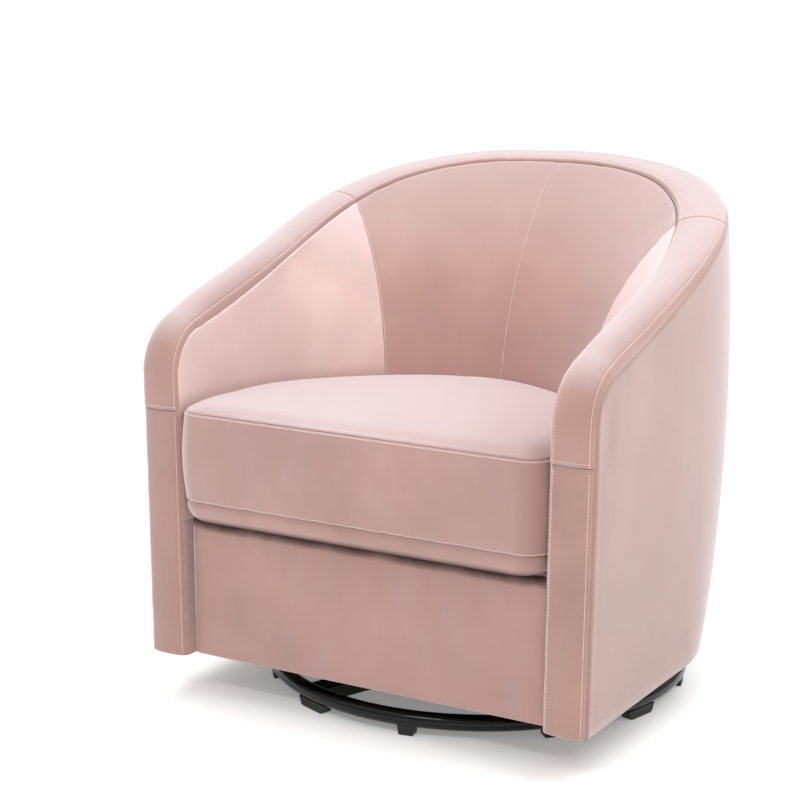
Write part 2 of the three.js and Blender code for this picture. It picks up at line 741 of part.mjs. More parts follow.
// ---------------------------------------------------------------- assembly
const looks = {
  velvet: { color: 0xd6b1a8, roughness: 0.85, metalness: 0 },
  black_steel: { color: 0x1a1a1c, roughness: 0.3, metalness: 0.6 },
  black_plastic: { color: 0x141416, roughness: 0.5, metalness: 0 },
  zinc_steel: { color: 0x9a9c9e, roughness: 0.4, metalness: 0.9 },
  rubber: { color: 0x202020, roughness: 0.9, metalness: 0 },
  timber: { color: 0xc9a878, roughness: 0.7, metalness: 0 },
  lining: { color: 0x2a2a2c, roughness: 0.95, metalness: 0 },
};

const chair = new THREE.Group();
chair.name = 'glider_nursery_chair';

function add(name, geometry, look) {
  const g = clean(geometry);
  g.computeVertexNormals();
  const mesh = new THREE.Mesh(g, new THREE.MeshStandardMaterial(looks[look]));
  mesh.name = name;
  chair.add(mesh);
}

add('base_ring', torus(TUBE_R), 'black_steel');
add('base_cross', baseCross(), 'black_steel');
SPOKE_TURN.forEach((turn, i) => add(`spoke_foot_${i + 1}`, foot(turn, WIDE_FOOT), 'black_plastic'));
FOOT_TURN.forEach((turn, i) => add(`ring_foot_${i + 1}`, foot(turn, SMALL_FOOT), 'black_plastic'));
add('swivel_lower_race', washer(40.6, 45.4, RACE_R, PIVOT_R + GAP), 'zinc_steel');
add('swivel_ball_ring', ballRing(), 'zinc_steel');
add('swivel_upper_race', washer(52.5, 57.3, RACE_R, PIVOT_R + GAP), 'zinc_steel');
add('swivel_pivot', swivelPivot(), 'zinc_steel');

add('glide_carrier', carrier(), 'black_steel');
add('upper_rod_front', upperRod(pivotY.front), 'zinc_steel');
add('upper_rod_rear', upperRod(pivotY.rear), 'zinc_steel');
add('glide_bumper_front', glideBumper(-1), 'rubber');
add('glide_bumper_rear', glideBumper(1), 'rubber');
sides.forEach((side) => {
  const hand = side > 0 ? 'right' : 'left';
  add(`link_front_${hand}`, swingLink(side, pivotY.front, PIN_HOLE), 'black_steel');
  add(`link_rear_${hand}`, swingLink(side, pivotY.rear, OPEN_HOLE), 'black_steel');
  add(`lower_pin_front_${hand}`, lowerPin(side, pivotY.front), 'zinc_steel');
  add(`lower_pin_rear_${hand}`, lowerPin(side, pivotY.rear), 'zinc_steel');
});
add('seat_subframe', seatSubframe(), 'black_steel');

add('frame_front_rail', block(-railX, railX, frontRailFace, frontRailBack, RAIL_LOW, RAIL_TOP), 'timber');
add('frame_cross_rail_front', block(-railX, railX, -194, -139, railZ, 240), 'timber');
add('frame_cross_rail_rear', block(-252, 252, 169, 224, railZ, RAIL_TOP), 'timber');
add('frame_top_rail', topRail(), 'timber');
add('frame_base_board', baseBoard(), 'timber');
sides.forEach((side) => {
  const hand = side > 0 ? 'right' : 'left';
  add(`frame_arm_post_${hand}`, armPost(side), 'timber');
  add(`frame_side_rail_${hand}`, sideRail(side), 'timber');
  add(`frame_back_rib_${hand}`, backRib(side * RIB_AT), 'timber');
  add(`frame_corner_rib_${hand}`, backRib(side * CORNER_RIB_AT), 'timber');
});
SPRING_X.forEach((x, i) => add(`seat_spring_${i + 1}`, springWire(x), 'zinc_steel'));
add('seat_deck', seatDeck(), 'lining');
add('dust_cover', dustCover(), 'lining');

add('outer_cover', outerCover(), 'velvet');
add('inside_back', insideBack(), 'velvet');
add('inside_arm_left', insideArm(-1), 'velvet');
add('inside_arm_right', insideArm(1), 'velvet');
add('rim_border', rimBorder(), 'velvet');
add('arm_front_left', armFront(-1), 'velvet');
add('arm_front_right', armFront(1), 'velvet');
add('apron', apron(), 'velvet');
add('seat_cushion', seatCushion(), 'velvet');

export default chair;
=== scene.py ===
# Looks of the glider nursery chair: velvet shell, loose box cushion, black steel ring base.
# Metres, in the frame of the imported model: +Z up, the sitter faces -Y, the floor is z = 0.
import json
import math
import bpy
import bmesh
import numpy as np
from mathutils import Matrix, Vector
from mathutils.kdtree import KDTree


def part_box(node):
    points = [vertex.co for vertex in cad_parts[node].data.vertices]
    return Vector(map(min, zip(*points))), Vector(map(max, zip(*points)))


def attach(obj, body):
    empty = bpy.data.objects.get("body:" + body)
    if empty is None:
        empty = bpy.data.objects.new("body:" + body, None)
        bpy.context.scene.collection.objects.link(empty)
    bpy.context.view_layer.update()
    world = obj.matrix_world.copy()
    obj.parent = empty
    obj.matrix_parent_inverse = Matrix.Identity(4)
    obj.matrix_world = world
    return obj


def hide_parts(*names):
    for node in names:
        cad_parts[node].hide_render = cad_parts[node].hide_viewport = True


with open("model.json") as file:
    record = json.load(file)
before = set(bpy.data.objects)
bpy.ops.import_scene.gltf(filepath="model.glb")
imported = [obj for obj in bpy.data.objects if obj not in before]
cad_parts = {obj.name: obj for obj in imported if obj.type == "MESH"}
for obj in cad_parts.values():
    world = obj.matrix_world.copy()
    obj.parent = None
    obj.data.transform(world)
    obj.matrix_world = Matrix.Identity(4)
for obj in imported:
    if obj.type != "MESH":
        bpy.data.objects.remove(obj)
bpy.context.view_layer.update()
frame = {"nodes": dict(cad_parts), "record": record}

scene = bpy.context.scene
scene.view_settings.view_transform = "Standard"
MM = 0.001

# ---------------- camera
CAMERA_DOWN, CAMERA_TURN = 12.1367, 31.1704
camera_data = bpy.data.cameras.new("camera")
camera_data.lens = 91.4
camera_data.sensor_width = 36
camera_data.shift_x = 0.0249
camera_data.shift_y = -0.0046
camera = bpy.data.objects.new("camera", camera_data)
camera.location = (1.4765, -2.7275, 1.1110)
camera.rotation_euler = (math.radians(90 - CAMERA_DOWN), 0, math.radians(CAMERA_TURN))
scene.collection.objects.link(camera)
scene.camera = camera

# ---------------- the shell's surfaces
# heights of the hem and of the rim, and the depth of the rim's wave
SKIRT, RIM_TOP, RIM_FRONT, RIM_WAVE = 0.071, 0.790, 0.561, 0.009
FRONT, BACK = -0.3575, 0.3575
# plan of the outside at the hem and at the rim: half width, where the back's bend starts, its power
SIDE_LOW, SIDE_TOP = 0.3695, 0.3795
BEND_LOW, BEND_TOP = -0.010, -0.070
BACK_TAPER, TUCK, TUCK_REACH = 0.020, 0.060, 0.08
POWER_LOW, POWER_TOP, POWER_SWELL = 2.11, 2.38, 0.6
ARM_CORNER, ARM_SLOPE = 0.072, 0.25
# the room for the cushion, and the height from which the inside flares out to the border
SEAT_LINE, SEAT_HALF, SEAT_BEND, SEAT_BACK, SEAT_POWER = 0.453, 0.300, -0.230, 0.088, 1.83
SEAT_TWIST = math.radians(24)
FLARE_EVEN, FLARE_CURVED, FLARE_POWER = 0.35, 0.65, 2.6
STRIP_BLEND = 0.075
BORDER_FRONT, BORDER_BACK = 0.069, 0.0825
BORDER_CROWN_FRONT, BORDER_CROWN_ARM, BORDER_CROWN_BACK = 0.007, 0.031, 0.0115
# stations of the side seams at the rim and at the seat, and where the arms run straight
SEAM_TOP, SEAM_LOW, SEAM_BEND = 0.425, 0.393, 3
STRAIGHT_FROM = 0.62
APRON_TOP = 0.2835
APRON_FACE = FRONT + 0.020


def lerp(a, b, t):
    return a + (b - a) * t


def smooth(x, low, high):
    t = np.clip((x - low) / (high - low), 0, 1)
    return t * t * (3 - 2 * t)


def outline(z):
    h = (z - SKIRT) / (RIM_TOP - SKIRT)
    half = lerp(SIDE_LOW, SIDE_TOP, h)
    bend = lerp(BEND_LOW, BEND_TOP, h)
    back = BACK - BACK_TAPER * (1 - h) - TUCK * np.exp(-h / TUCK_REACH)
    power = lerp(POWER_LOW, POWER_TOP, h) + POWER_SWELL * np.sin(np.pi * h)
    return half, bend, back, power


SEAT = (SEAT_HALF, SEAT_BEND, SEAT_BACK, SEAT_POWER)


def on_outline(o, s, twist=0.0):
    """Plan position at stations s: 0 is the middle of the back, -1 and 1 are the arm fronts."""
    half, bend, back, power = o
    side = np.where(s < 0, -1.0, 1.0)
    a = np.abs(s)
    even = (1 - np.minimum(a, STRAIGHT_FROM) / STRAIGHT_FROM) * np.pi / 2
    turn = even + twist * np.sin(2 * even)
    c, d = np.maximum(np.cos(turn), 0), np.sin(turn)
    r = ((c / half) ** power + (d / (back - bend)) ** power) ** (-1 / power)
    share = (a - STRAIGHT_FROM) / (1 - STRAIGHT_FROM)
    straight = a >= STRAIGHT_FROM
    x = np.where(straight, half, r * c)
    y = np.where(straight, bend + (FRONT - bend) * share, bend + r * d)
    return side * x, y


def inward(o, s, distance, twist=0.0):
    """The same position moved level towards the inside of the outline."""
    step = 0.004
    ax, ay = on_outline(o, s - step, twist)
    bx, by = on_outline(o, s + step, twist)
    dx, dy = bx - ax, by - ay
    size = np.hypot(dx, dy)
    x, y = on_outline(o, s, twist)
    return x + dy / size * distance, y - dx / size * distance


CORNER_Y = FRONT + ARM_CORNER
CORNER_Z = RIM_FRONT + ARM_SLOPE * ARM_CORNER - ARM_CORNER * math.hypot(1, ARM_SLOPE)
CORNER_TURN = math.atan(ARM_SLOPE)
CORNER_END = CORNER_Y - ARM_CORNER * math.sin(CORNER_TURN)


def rim_at(y):
    u = (y - FRONT) / (BACK - FRONT)
    return lerp(RIM_FRONT, RIM_TOP, u) - RIM_WAVE * np.sin(2 * np.pi * u)


def rim_height(s):
    z = np.full(np.shape(s), RIM_TOP)
    for _ in range(8):
        y = on_outline(outline(z), s)[1]
        arc = CORNER_Z + np.sqrt(np.maximum(ARM_CORNER ** 2 - (CORNER_Y - y) ** 2, 0))
        z = np.where(y < CORNER_END, arc, rim_at(y))
    return z


def border_width(s):
    y = on_outline(outline(np.full(np.shape(s), RIM_TOP)), s)[1]
    return lerp(BORDER_FRONT, BORDER_BACK, (y - FRONT) / (BACK - FRONT))


def outer_surface(s, z):
    x, y = inward(outline(z), s, 0.0)
    return np.stack([x, y, z], -1)


def inner_surface(s, z):
    """Upright below the seat line, then flaring out to the border."""
    rim = rim_height(s)
    seat_x, seat_y = inward(SEAT, s, 0.0, SEAT_TWIST)
    high_x, high_y = inward(outline(rim), s, border_width(s))
    t = np.clip((z - SEAT_LINE) / (rim - SEAT_LINE), 0, 1)
    flare = FLARE_EVEN * t + FLARE_CURVED * t ** FLARE_POWER
    x, y = lerp(seat_x, high_x, flare), lerp(seat_y, high_y, flare)
    # near an arm's front the panel meets the inner edge of the front strip
    edge = outline(z)[0] - BORDER_FRONT
    near = 1 - smooth(y, FRONT, FRONT + STRIP_BLEND)
    wide = np.maximum(np.abs(x), edge)
    x = np.where(np.abs(s) > STRAIGHT_FROM, np.sign(s) * lerp(np.abs(x), wide, near), x)
    return np.stack([x, y, z], -1)


def side_seam(t):
    """Station of the right side seam at a share of the way up from the seat to the rim."""
    return lerp(SEAM_LOW, SEAM_TOP, np.clip(t, 0, 1) ** SEAM_BEND)


# ---------------- mesh helpers
def unit(v):
    return v / np.maximum(np.linalg.norm(v, axis=-1, keepdims=True), 1e-12)


def grid_normals(p):
    return unit(np.cross(np.gradient(p, axis=0), np.gradient(p, axis=1)))


def make_object(name, points, faces, material, body):
    mesh = bpy.data.meshes.new(name)
    mesh.from_pydata(np.asarray(points).reshape(-1, 3).tolist(), [], faces)
    mesh.materials.append(material)
    work = bmesh.new()
    work.from_mesh(mesh)
    bmesh.ops.remove_doubles(work, verts=work.verts, dist=1e-6)
    bmesh.ops.recalc_face_normals(work, faces=work.faces)
    if work.calc_volume(signed=True) < 0:
        bmesh.ops.reverse_faces(work, faces=work.faces)
    work.to_mesh(mesh)
    work.free()
    mesh.shade_smooth()
    obj = bpy.data.objects.new(name, mesh)
    scene.collection.objects.link(obj)
    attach(obj, body)
    return obj


def grid_faces(index):
    a, b, c, d = index[:-1, :-1], index[1:, :-1], index[1:, 1:], index[:-1, 1:]
    return np.stack([a, b, c, d], -1).reshape(-1, 4).tolist()


def shell(name, front, back, material, body, slot):
    """Closed panel between a front and a back grid of the same size."""
    n, m = front.shape[:2]
    index = np.arange(n * m).reshape(n, m)
    other = index + n * m
    faces = grid_faces(index) + [f[::-1] for f in grid_faces(other)]
    ring = [*index[0, :], *index[1:, -1], *index[-1, -2::-1], *index[-2:0:-1, 0]]
    for a, b in zip(ring, ring[1:] + ring[:1]):
        faces.append([int(a), int(b), int(b + n * m), int(a + n * m)])
    points = np.vstack([front.reshape(-1, 3), back.reshape(-1, 3)])
    return make_object(name, points, faces, material, body)


def stack(name, rings, material, body):
    """Closed body from a stack of closed rings, with a fan across each end."""
    n, m = rings.shape[:2]
    index = np.arange(n * m).reshape(n, m)
    index = np.hstack([index, index[:, :1]])
    faces = grid_faces(index)
    points = [rings.reshape(-1, 3)]
    for level in (0, n - 1):
        points.append(rings[level].mean(0)[None])
        middle = n * m + len(points) - 2
        row = index[level]
        faces += [[int(a), int(b), middle] for a, b in zip(row[:-1], row[1:])]
    return make_object(name, np.vstack(points), faces, material, body)


def waves(seed, shortest, longest, count=7):
    """Smooth random wobble of a length along a seam, about -1 to 1."""
    rng = np.random.default_rng(seed)
    lengths = np.exp(rng.uniform(math.log(shortest), math.log(longest), count))
    phases = rng.uniform(0, 2 * np.pi, count)

    def wobble(u):
        return sum(np.sin(2 * np.pi * u / l + p) for l, p in zip(lengths, phases)) / math.sqrt(count)

    return wobble


def path_length(p):
    return np.concatenate([[0], np.cumsum(np.linalg.norm(np.diff(p, axis=0), axis=1))])


# Distances from a seam at which a panel has a column of points.
SEAM_STEPS = np.array([0, 0.4, 0.8, 1.3, 1.9, 2.6, 3.4, 4.0, 4.5, 5.0, 5.5, 6.0, 6.6, 7.6, 9.0, 11.0,
                       13.5, 17.0]) * MM
ROLL_POWER, GROOVE_HALF = 2.2, 1.1 * MM
STITCH_AT, STITCH_DIP, STITCH_DIP_HALF = 5.0 * MM, 0.55 * MM, 0.8 * MM
THREAD_SIDES = 6
# Along one stitch: shares of its length, with its thickness and its rise at each.
STITCH_STATIONS = np.array([-0.5, -0.36, 0.0, 0.36, 0.5])
STITCH_SIZES = np.array([0.25, 0.9, 1.0, 0.9, 0.25])
STITCH_LIFTS = np.array([-0.45, 0.05, 0.3, 0.05, -0.45]) * MM


def across_steps(width, spacing=0.009):
    """Positions across a panel of that width, close together beside the seams at both edges."""
    count = max(int((width - 2 * SEAM_STEPS[-1]) / spacing), 2)
    middle = np.linspace(SEAM_STEPS[-1], width - SEAM_STEPS[-1], count + 1)[1:-1]
    return np.concatenate([SEAM_STEPS, middle, (width - SEAM_STEPS)[::-1]])


def seam_drop(d, roll=2.5 * MM, reach=9 * MM, groove=1.3 * MM, stitched=True):
    """How far a panel lies below its own surface at a distance from its seam."""
    drop = roll * np.clip(1 - d / reach, 0, 1) ** ROLL_POWER + groove * np.exp(-(d / GROOVE_HALF) ** 2)
    if stitched:
        drop = drop + STITCH_DIP * np.exp(-((d - STITCH_AT) / STITCH_DIP_HALF) ** 2)
    return drop


def stitches(name, path, normals, material, body, slot, pitch=4.6 * MM, length=3.7 * MM, radius=0.48 * MM):
    """A row of thread stitches along a path on a surface."""
    along = path_length(path)
    centres = np.arange(pitch / 2, along[-1], pitch)
    sides = THREAD_SIDES
    rows, sizes = STITCH_STATIONS * length, STITCH_SIZES * radius

    def at(values, u):
        return np.stack([np.interp(u, along, values[:, k]) for k in range(3)], -1)

    points, faces = [], []
    angles = np.arange(sides) * 2 * np.pi / sides
    for centre in centres:
        mid, up = at(path, [centre])[0], unit(at(normals, [centre]))[0]
        go = unit(at(path, [centre + 1 * MM]) - at(path, [centre - 1 * MM]))[0]
        out = unit(np.cross(go, up))
        start = len(points)
        for row, size, lift in zip(rows, sizes, STITCH_LIFTS):
            base = mid + go * row + up * lift
            for a in angles:
                points.append(base + (out * math.cos(a) + up * math.sin(a)) * size)
        for i in range(len(rows) - 1):
            for k in range(sides):
                a, b = start + i * sides + k, start + i * sides + (k + 1) % sides
                faces.append([a, b, b + sides, a + sides])
        faces.append(list(range(start, start + sides)))
        faces.append(list(range(start + (len(rows) - 1) * sides, start + len(rows) * sides))[::-1])
    return make_object(name, points, faces, material, body)


# ---------------- materials
class Nodes:
    """The nodes of one material."""

    def __init__(self, name):
        self.material = bpy.data.materials.new(name)
        self.material.use_nodes = True
        self.tree = self.material.node_tree
        self.shader = self.tree.nodes["Principled BSDF"]
        self.where = self.tree.nodes.new("ShaderNodeTexCoord").outputs["Object"]

    def node(self, kind, **values):
        n = self.tree.nodes.new(kind)
        for key, value in values.items():
            setattr(n, key, value)
        return n

    def link(self, a, b):
        self.tree.links.new(a, b)

    def set(self, **values):
        for key, value in values.items():
            self.shader.inputs[key.replace("_", " ")].default_value = value

    def noise(self, scale, detail=2.0, rough=0.5, stretch=None, where=None):
        n = self.node("ShaderNodeTexNoise")
        n.inputs["Scale"].default_value = scale
        n.inputs["Detail"].default_value = detail
        n.inputs["Roughness"].default_value = rough
        source = where or self.where
        if stretch:
            m = self.node("ShaderNodeMapping")
            m.inputs["Scale"].default_value = stretch
            self.link(source, m.inputs["Vector"])
            source = m.outputs["Vector"]
        self.link(source, n.inputs["Vector"])
        return n.outputs["Fac"]

    def span(self, value, low, high, to_low=0.0, to_high=1.0):
        n = self.node("ShaderNodeMapRange")
        for key, v in zip(("From Min", "From Max", "To Min", "To Max"), (low, high, to_low, to_high)):
            n.inputs[key].default_value = v
        self.link(value, n.inputs["Value"])
        return n.outputs["Result"]

    def mix(self, factor, a, b):
        n = self.node("ShaderNodeMix", data_type="RGBA")
        self.link(factor, n.inputs["Factor"])
        for socket, value in zip(("A", "B"), (a, b)):
            target = [i for i in n.inputs if i.name == socket and i.type == "RGBA"][0]
            if isinstance(value, tuple):
                target.default_value = (*value, 1)
            else:
                self.link(value, target)
        return [o for o in n.outputs if o.type == "RGBA"][0]

    def times(self, a, b):
        n = self.node("ShaderNodeMath", operation="MULTIPLY")
        self.link(a, n.inputs[0])
        self.link(b, n.inputs[1])
        return n.outputs["Value"]

    def bump(self, height, distance, strength=1.0, after=None):
        n = self.node("ShaderNodeBump")
        n.inputs["Distance"].default_value = distance
        n.inputs["Strength"].default_value = strength
        self.link(height, n.inputs["Height"])
        if after:
            self.link(after, n.inputs["Normal"])
        return n.outputs["Normal"]

    def colour(self, value):
        self.link(value, self.shader.inputs["Base Color"])

    def rough(self, value):
        self.link(value, self.shader.inputs["Roughness"])

    def normal(self, value):
        self.link(value, self.shader.inputs["Normal"])


def tint(base, shares):
    return tuple(c * share for c, share in zip(base, shares))


# Shares of a velvet's own colour that its nap takes where it lies differently, then the shares for its
# painted shade and its painted shadow.
NAP_DARK, NAP_LIGHT = (0.83, 0.83, 0.83), (1.11, 1.11, 1.11)
NAP_WARM, NAP_MAUVE = (1.02, 0.93, 0.90), (0.99, 0.97, 1.06)
SHADE_SHARE, SHADOW_SHARE = (0.62, 0.53, 0.47), (0.14, 0.09, 0.07)
# Painted highlight: how far it goes towards white where it faces up, from which slope on, and what the fade
# leaves of that.
HIGHLIGHT_SHARE, HIGHLIGHT_FROM, HIGHLIGHT_MOST, HIGHLIGHT_LEFT = (0.32, 0.33, 0.37), 0.45, 0.85, 0.38
# How far the painted shade beside an arm and the painted shadow go at most, and the sheen left in that
# painted shadow.
ARM_SHADE_MOST, SHADOW_MOST, SHADOW_SHEEN = 0.75, 0.88, 0.08


def velvet(name, base, seed, shadow_heights=None, ragged=0.5 * MM, fade=None, arm_shade_span=None, shaded=None):
    """Velvet, with a painted highlight where it faces up. shadow_heights is the span of heights over which a
    painted shadow turns it dark, and ragged is the unevenness of that shadow's edge; fade is the span along
    X over which the painted highlight falls off, as painted shade; arm_shade_span is a span along X, and
    shaded a span of heights with its amount, over which painted shade darkens it."""
    m = Nodes(name)
    dark, light, warm, mauve, shade_tone, shadow_tone = (
        tint(base, shares) for shares in (NAP_DARK, NAP_LIGHT, NAP_WARM, NAP_MAUVE, SHADE_SHARE, SHADOW_SHARE))
    shifted = m.node("ShaderNodeMapping")
    shifted.inputs["Location"].default_value = (seed * 1.7, seed * 0.9, seed * 2.3)
    m.link(m.where, shifted.inputs["Vector"])
    where = shifted.outputs["Vector"]
    nap = m.noise(7.0, 3.0, 0.55, where=where)
    brushed = m.noise(26.0, 3.0, 0.6, stretch=(1, 1, 0.35), where=where)
    pile = m.noise(1500.0, 2.0, 0.6, where=where)
    tuft = m.noise(420.0, 2.0, 0.55, stretch=(1, 1, 0.5), where=where)
    drift = m.noise(2.6, 2.0, 0.5, where=where)
    patches = m.mix(m.span(drift, 0.35, 0.65, 0.0, 0.6), m.mix(m.span(nap, 0.3, 0.7), dark, light), mauve)
    tinted = m.mix(m.span(brushed, 0.35, 0.75, 0.0, 0.45), patches, warm)
    facing = m.node("ShaderNodeSeparateXYZ")
    m.link(m.node("ShaderNodeNewGeometry").outputs["Normal"], facing.inputs["Vector"])
    top_highlight = tuple(lerp(c, 1.0, share) for c, share in zip(base, HIGHLIGHT_SHARE))
    # painted highlight: the colour goes towards white on faces that point up
    lift = m.span(facing.outputs["Z"], HIGHLIGHT_FROM, 1.0, 0.0, HIGHLIGHT_MOST)
    place = m.node("ShaderNodeSeparateXYZ")
    m.link(m.where, place.inputs["Vector"])
    # painted shade: the top highlight falls off along X towards the right arm
    if fade:
        lift = m.times(lift, m.span(place.outputs["X"], *fade, 1.0, HIGHLIGHT_LEFT))
    lit_and_shaded = m.mix(lift, tinted, top_highlight)
    # painted shade: darker over a span along X, beside an arm
    if arm_shade_span:
        lit_and_shaded = m.mix(m.span(place.outputs["X"], *arm_shade_span, 0.0, ARM_SHADE_MOST), lit_and_shaded, shade_tone)
    # painted shade: darker over a span of heights
    if shaded:
        lit_and_shaded = m.mix(m.span(place.outputs["Z"], *shaded[:2], 0.0, shaded[2]), lit_and_shaded, shade_tone)
    # painted shadow under a tuck, its edge made uneven by noise, with the sheen taken down in it
    if shadow_heights:
        uneven = m.span(m.noise(28.0, 3.0, 0.6), 0.2, 0.8, -ragged, ragged)
        height = m.node("ShaderNodeMath", operation="ADD")
        m.link(place.outputs["Z"], height.inputs[0])
        m.link(uneven, height.inputs[1])
        lit_and_shaded = m.mix(m.span(height.outputs["Value"], *shadow_heights, 0.0, SHADOW_MOST), lit_and_shaded, shadow_tone)
        sheen = m.span(height.outputs["Value"], *shadow_heights, 1.0, SHADOW_SHEEN)
        m.link(sheen, m.shader.inputs["Sheen Weight"])
    m.colour(m.mix(m.span(pile, 0.25, 0.75, 0.0, 0.22), lit_and_shaded, dark))
    m.rough(m.span(brushed, 0.3, 0.7, 0.78, 0.95))
    m.set(Specular_IOR_Level=0.25, Sheen_Weight=1.0, Sheen_Roughness=0.45, Sheen_Tint=(1.0, 0.95, 0.96, 1))
    fine = m.bump(pile, 0.35 * MM, 0.5)
    m.normal(m.bump(tuft, 0.5 * MM, 0.35, after=fine))
    return m.material


def finish(name, tone, tone_span, colours, wear, rough_span, grain, height, strength, **sockets):
    """Finish in two tones. tone, wear and grain are the noises of its colour, roughness and relief."""
    m = Nodes(name)
    m.colour(m.mix(m.span(m.noise(*tone), *tone_span), *colours))
    if wear:
        m.rough(m.span(m.noise(*wear), *rough_span))
    m.set(**sockets)
    m.normal(m.bump(m.noise(*grain), height * MM, strength))
    return m.material


def coated_steel(name, base, rough, peel):
    """Steel with a thin black coat, dusty in places, with a little orange peel."""
    dust = (38.0, 4.0, 0.65)
    dusty = tuple(c * 1.6 + 0.001 for c in base)
    return finish(name, dust, (0.45, 0.8, 0.0, 0.5), (base, dusty), dust,
                  (0.3, 0.75, rough * 0.85, rough * 1.5), (260.0, 2.0, 0.5), peel, 0.5,
                  Specular_IOR_Level=0.32, Coat_Weight=0.05, Coat_Roughness=0.04)


def moulded(name, base, rough):
    """Moulded plastic or rubber, scuffed in places."""
    scuff = (60.0, 4.0, 0.7)
    scuffed = tuple(c * 2 + 0.002 for c in base)
    return finish(name, scuff, (0.5, 0.8, 0, 0.6), (base, scuffed), scuff,
                  (0.3, 0.7, rough * 0.9, min(rough * 1.25, 1)), (800.0, 2.0, 0.6), 0.12, 0.5)


BLUSH, THREAD_PINK = (0.425, 0.262, 0.228), (0.93, 0.76, 0.71)
# Heights below the seat, where the arms' insides get painted shade.
SHADE_BELOW_SEAT = (0.478, 0.448, 1.0)
shell_velvet = velvet("shell_velvet", BLUSH, 0)
# The arms' insides are lighter copies of the velvet, the right one paler still: painted light where the
# lights fall on them.
ARM_INSIDES = (("left", (0.675, 0.498, 0.462), 2), ("right", (0.730, 0.562, 0.532), 7))
arm_velvets = [velvet(f"shell_velvet_arm_inside_{hand}", base, seed, shaded=SHADE_BELOW_SEAT)
               for hand, base, seed in ARM_INSIDES]
# The inside back is a lighter copy of the velvet, and the arm fronts and the outside are darker ones:
# painted light and shade for how the light falls on each. Painted shade also darkens the back towards its
# top and the outside towards the bottom.
back_velvet = velvet("shell_velvet_inside_back", (0.468, 0.288, 0.253), 8, shaded=(0.50, 0.78, 0.26))
front_velvet = velvet("shell_velvet_arm_fronts", (0.392, 0.241, 0.207), 6)
outside_velvet = velvet("shell_velvet_outside", (0.362, 0.218, 0.174), 3, shaded=(0.52, 0.08, 0.36))
# Painted shadow along the apron's top and the cushion's underside, where the cushion overhangs the apron. On
# the cushion the top highlight fades towards the right, and painted shade darkens its right end beside the
# arm.
apron_velvet = velvet("shell_velvet_apron", BLUSH, 4, shadow_heights=(0.268, 0.280), ragged=4 * MM)
cushion_velvet = velvet("cushion_velvet", (0.422, 0.264, 0.236), 5, shadow_heights=(0.300, 0.2915),
                        fade=(-0.04, 0.27), arm_shade_span=(0.262, 0.302))
TWIST, THREAD_SHADE = (900.0, 2.0, 0.5), (0.85, 0.85, 0.85)
thread = finish("thread", TWIST, (0.3, 0.7), (tint(THREAD_PINK, THREAD_SHADE), THREAD_PINK), None, None,
                TWIST, 0.15, 0.6, Roughness=0.55, Specular_IOR_Level=0.4, Sheen_Weight=0.3)
base_steel = coated_steel("base_steel", (0.0012, 0.0012, 0.0014), 0.06, 0.02)
frame_steel = coated_steel("frame_steel", (0.010, 0.010, 0.011), 0.32, 0.1)
foot_plastic = moulded("foot_plastic", (0.003, 0.003, 0.0033), 0.42)
bumper_rubber = moulded("bumper_rubber", (0.016, 0.016, 0.016), 0.75)
SPANGLE, TURNED = (140.0, 3.0, 0.6), (600.0, 2.0, 0.5, (1, 1, 6))
zinc_steel = finish("zinc_steel", SPANGLE, (0.35, 0.65), ((0.50, 0.51, 0.52), (0.66, 0.66, 0.64)),
                    SPANGLE, (0.3, 0.7, 0.28, 0.42), TURNED, 0.05, 0.4, Metallic=1.0)
GRAIN, PORES = (9.0, 5.0, 0.6, (1, 14, 14)), (220.0, 2.0, 0.5, (0.15, 1, 1))
frame_timber = finish("frame_timber", GRAIN, (0.35, 0.65), ((0.45, 0.29, 0.15), (0.66, 0.48, 0.29)),
                      GRAIN, (0.3, 0.7, 0.6, 0.8), PORES, 0.3, 0.6)
FIBRES, WEB = (700.0, 3.0, 0.7), (90.0, 3.0, 0.6)
black_lining = finish("black_lining", FIBRES, (0.3, 0.7), ((0.014, 0.014, 0.016), (0.04, 0.04, 0.043)),
                      WEB, (0.3, 0.7, 0.85, 1.0), FIBRES, 0.4, 0.8)

SHELL = ("chair", "shell_velvet")

# ---------------- stations along the shell
# The corner of an arm's front is stepped by angle, the rest about every 7 mm.
CORNER_ANGLES = np.radians(np.arange(0, 77, 3.5))
SEAM_INSET = 2.5 * MM
MEASURED_Z = 0.6
# The rim slopes, so the way to it is a little shorter than the height left.
RIM_SLANT = 0.95


def plan_length(s):
    """Length travelled round the shell at each of the stations."""
    x, y = on_outline(outline(np.full(s.shape, MEASURED_Z)), s)
    return path_length(np.stack([x, y], -1))


def arm_station(y):
    """Station at height RIM_FRONT on an arm's straight part."""
    bend = outline(RIM_FRONT)[1]
    return lerp(STRAIGHT_FROM, 1, (y - bend) / (FRONT - bend))


def side_stations(low, spacing=0.008):
    """Stations from low up to an arm's front, denser towards the front."""
    front_y = CORNER_Y - (ARM_CORNER - SEAM_INSET) * np.cos(CORNER_ANGLES)
    near = arm_station(front_y)
    fine = np.linspace(low, near[-1], 4000)
    travelled = plan_length(fine)
    count = int(travelled[-1] / spacing)
    even = np.interp(np.linspace(0, travelled[-1], count + 1), travelled, fine)
    return np.concatenate([even[:-1], near[::-1]])


def edge_distance(y, z):
    """Distance from a point of an arm's side to the seam round its front and along its top."""
    to_front = y - FRONT
    to_rim = (rim_at(y) - z) * RIM_SLANT
    reach = np.hypot(CORNER_Y - y, z - CORNER_Z)
    to_arc = ARM_CORNER - reach
    in_corner = (y < CORNER_Y) & (z > CORNER_Z)
    return np.where(in_corner, to_arc, np.minimum(to_front, np.where(y < CORNER_END, to_front, to_rim)))


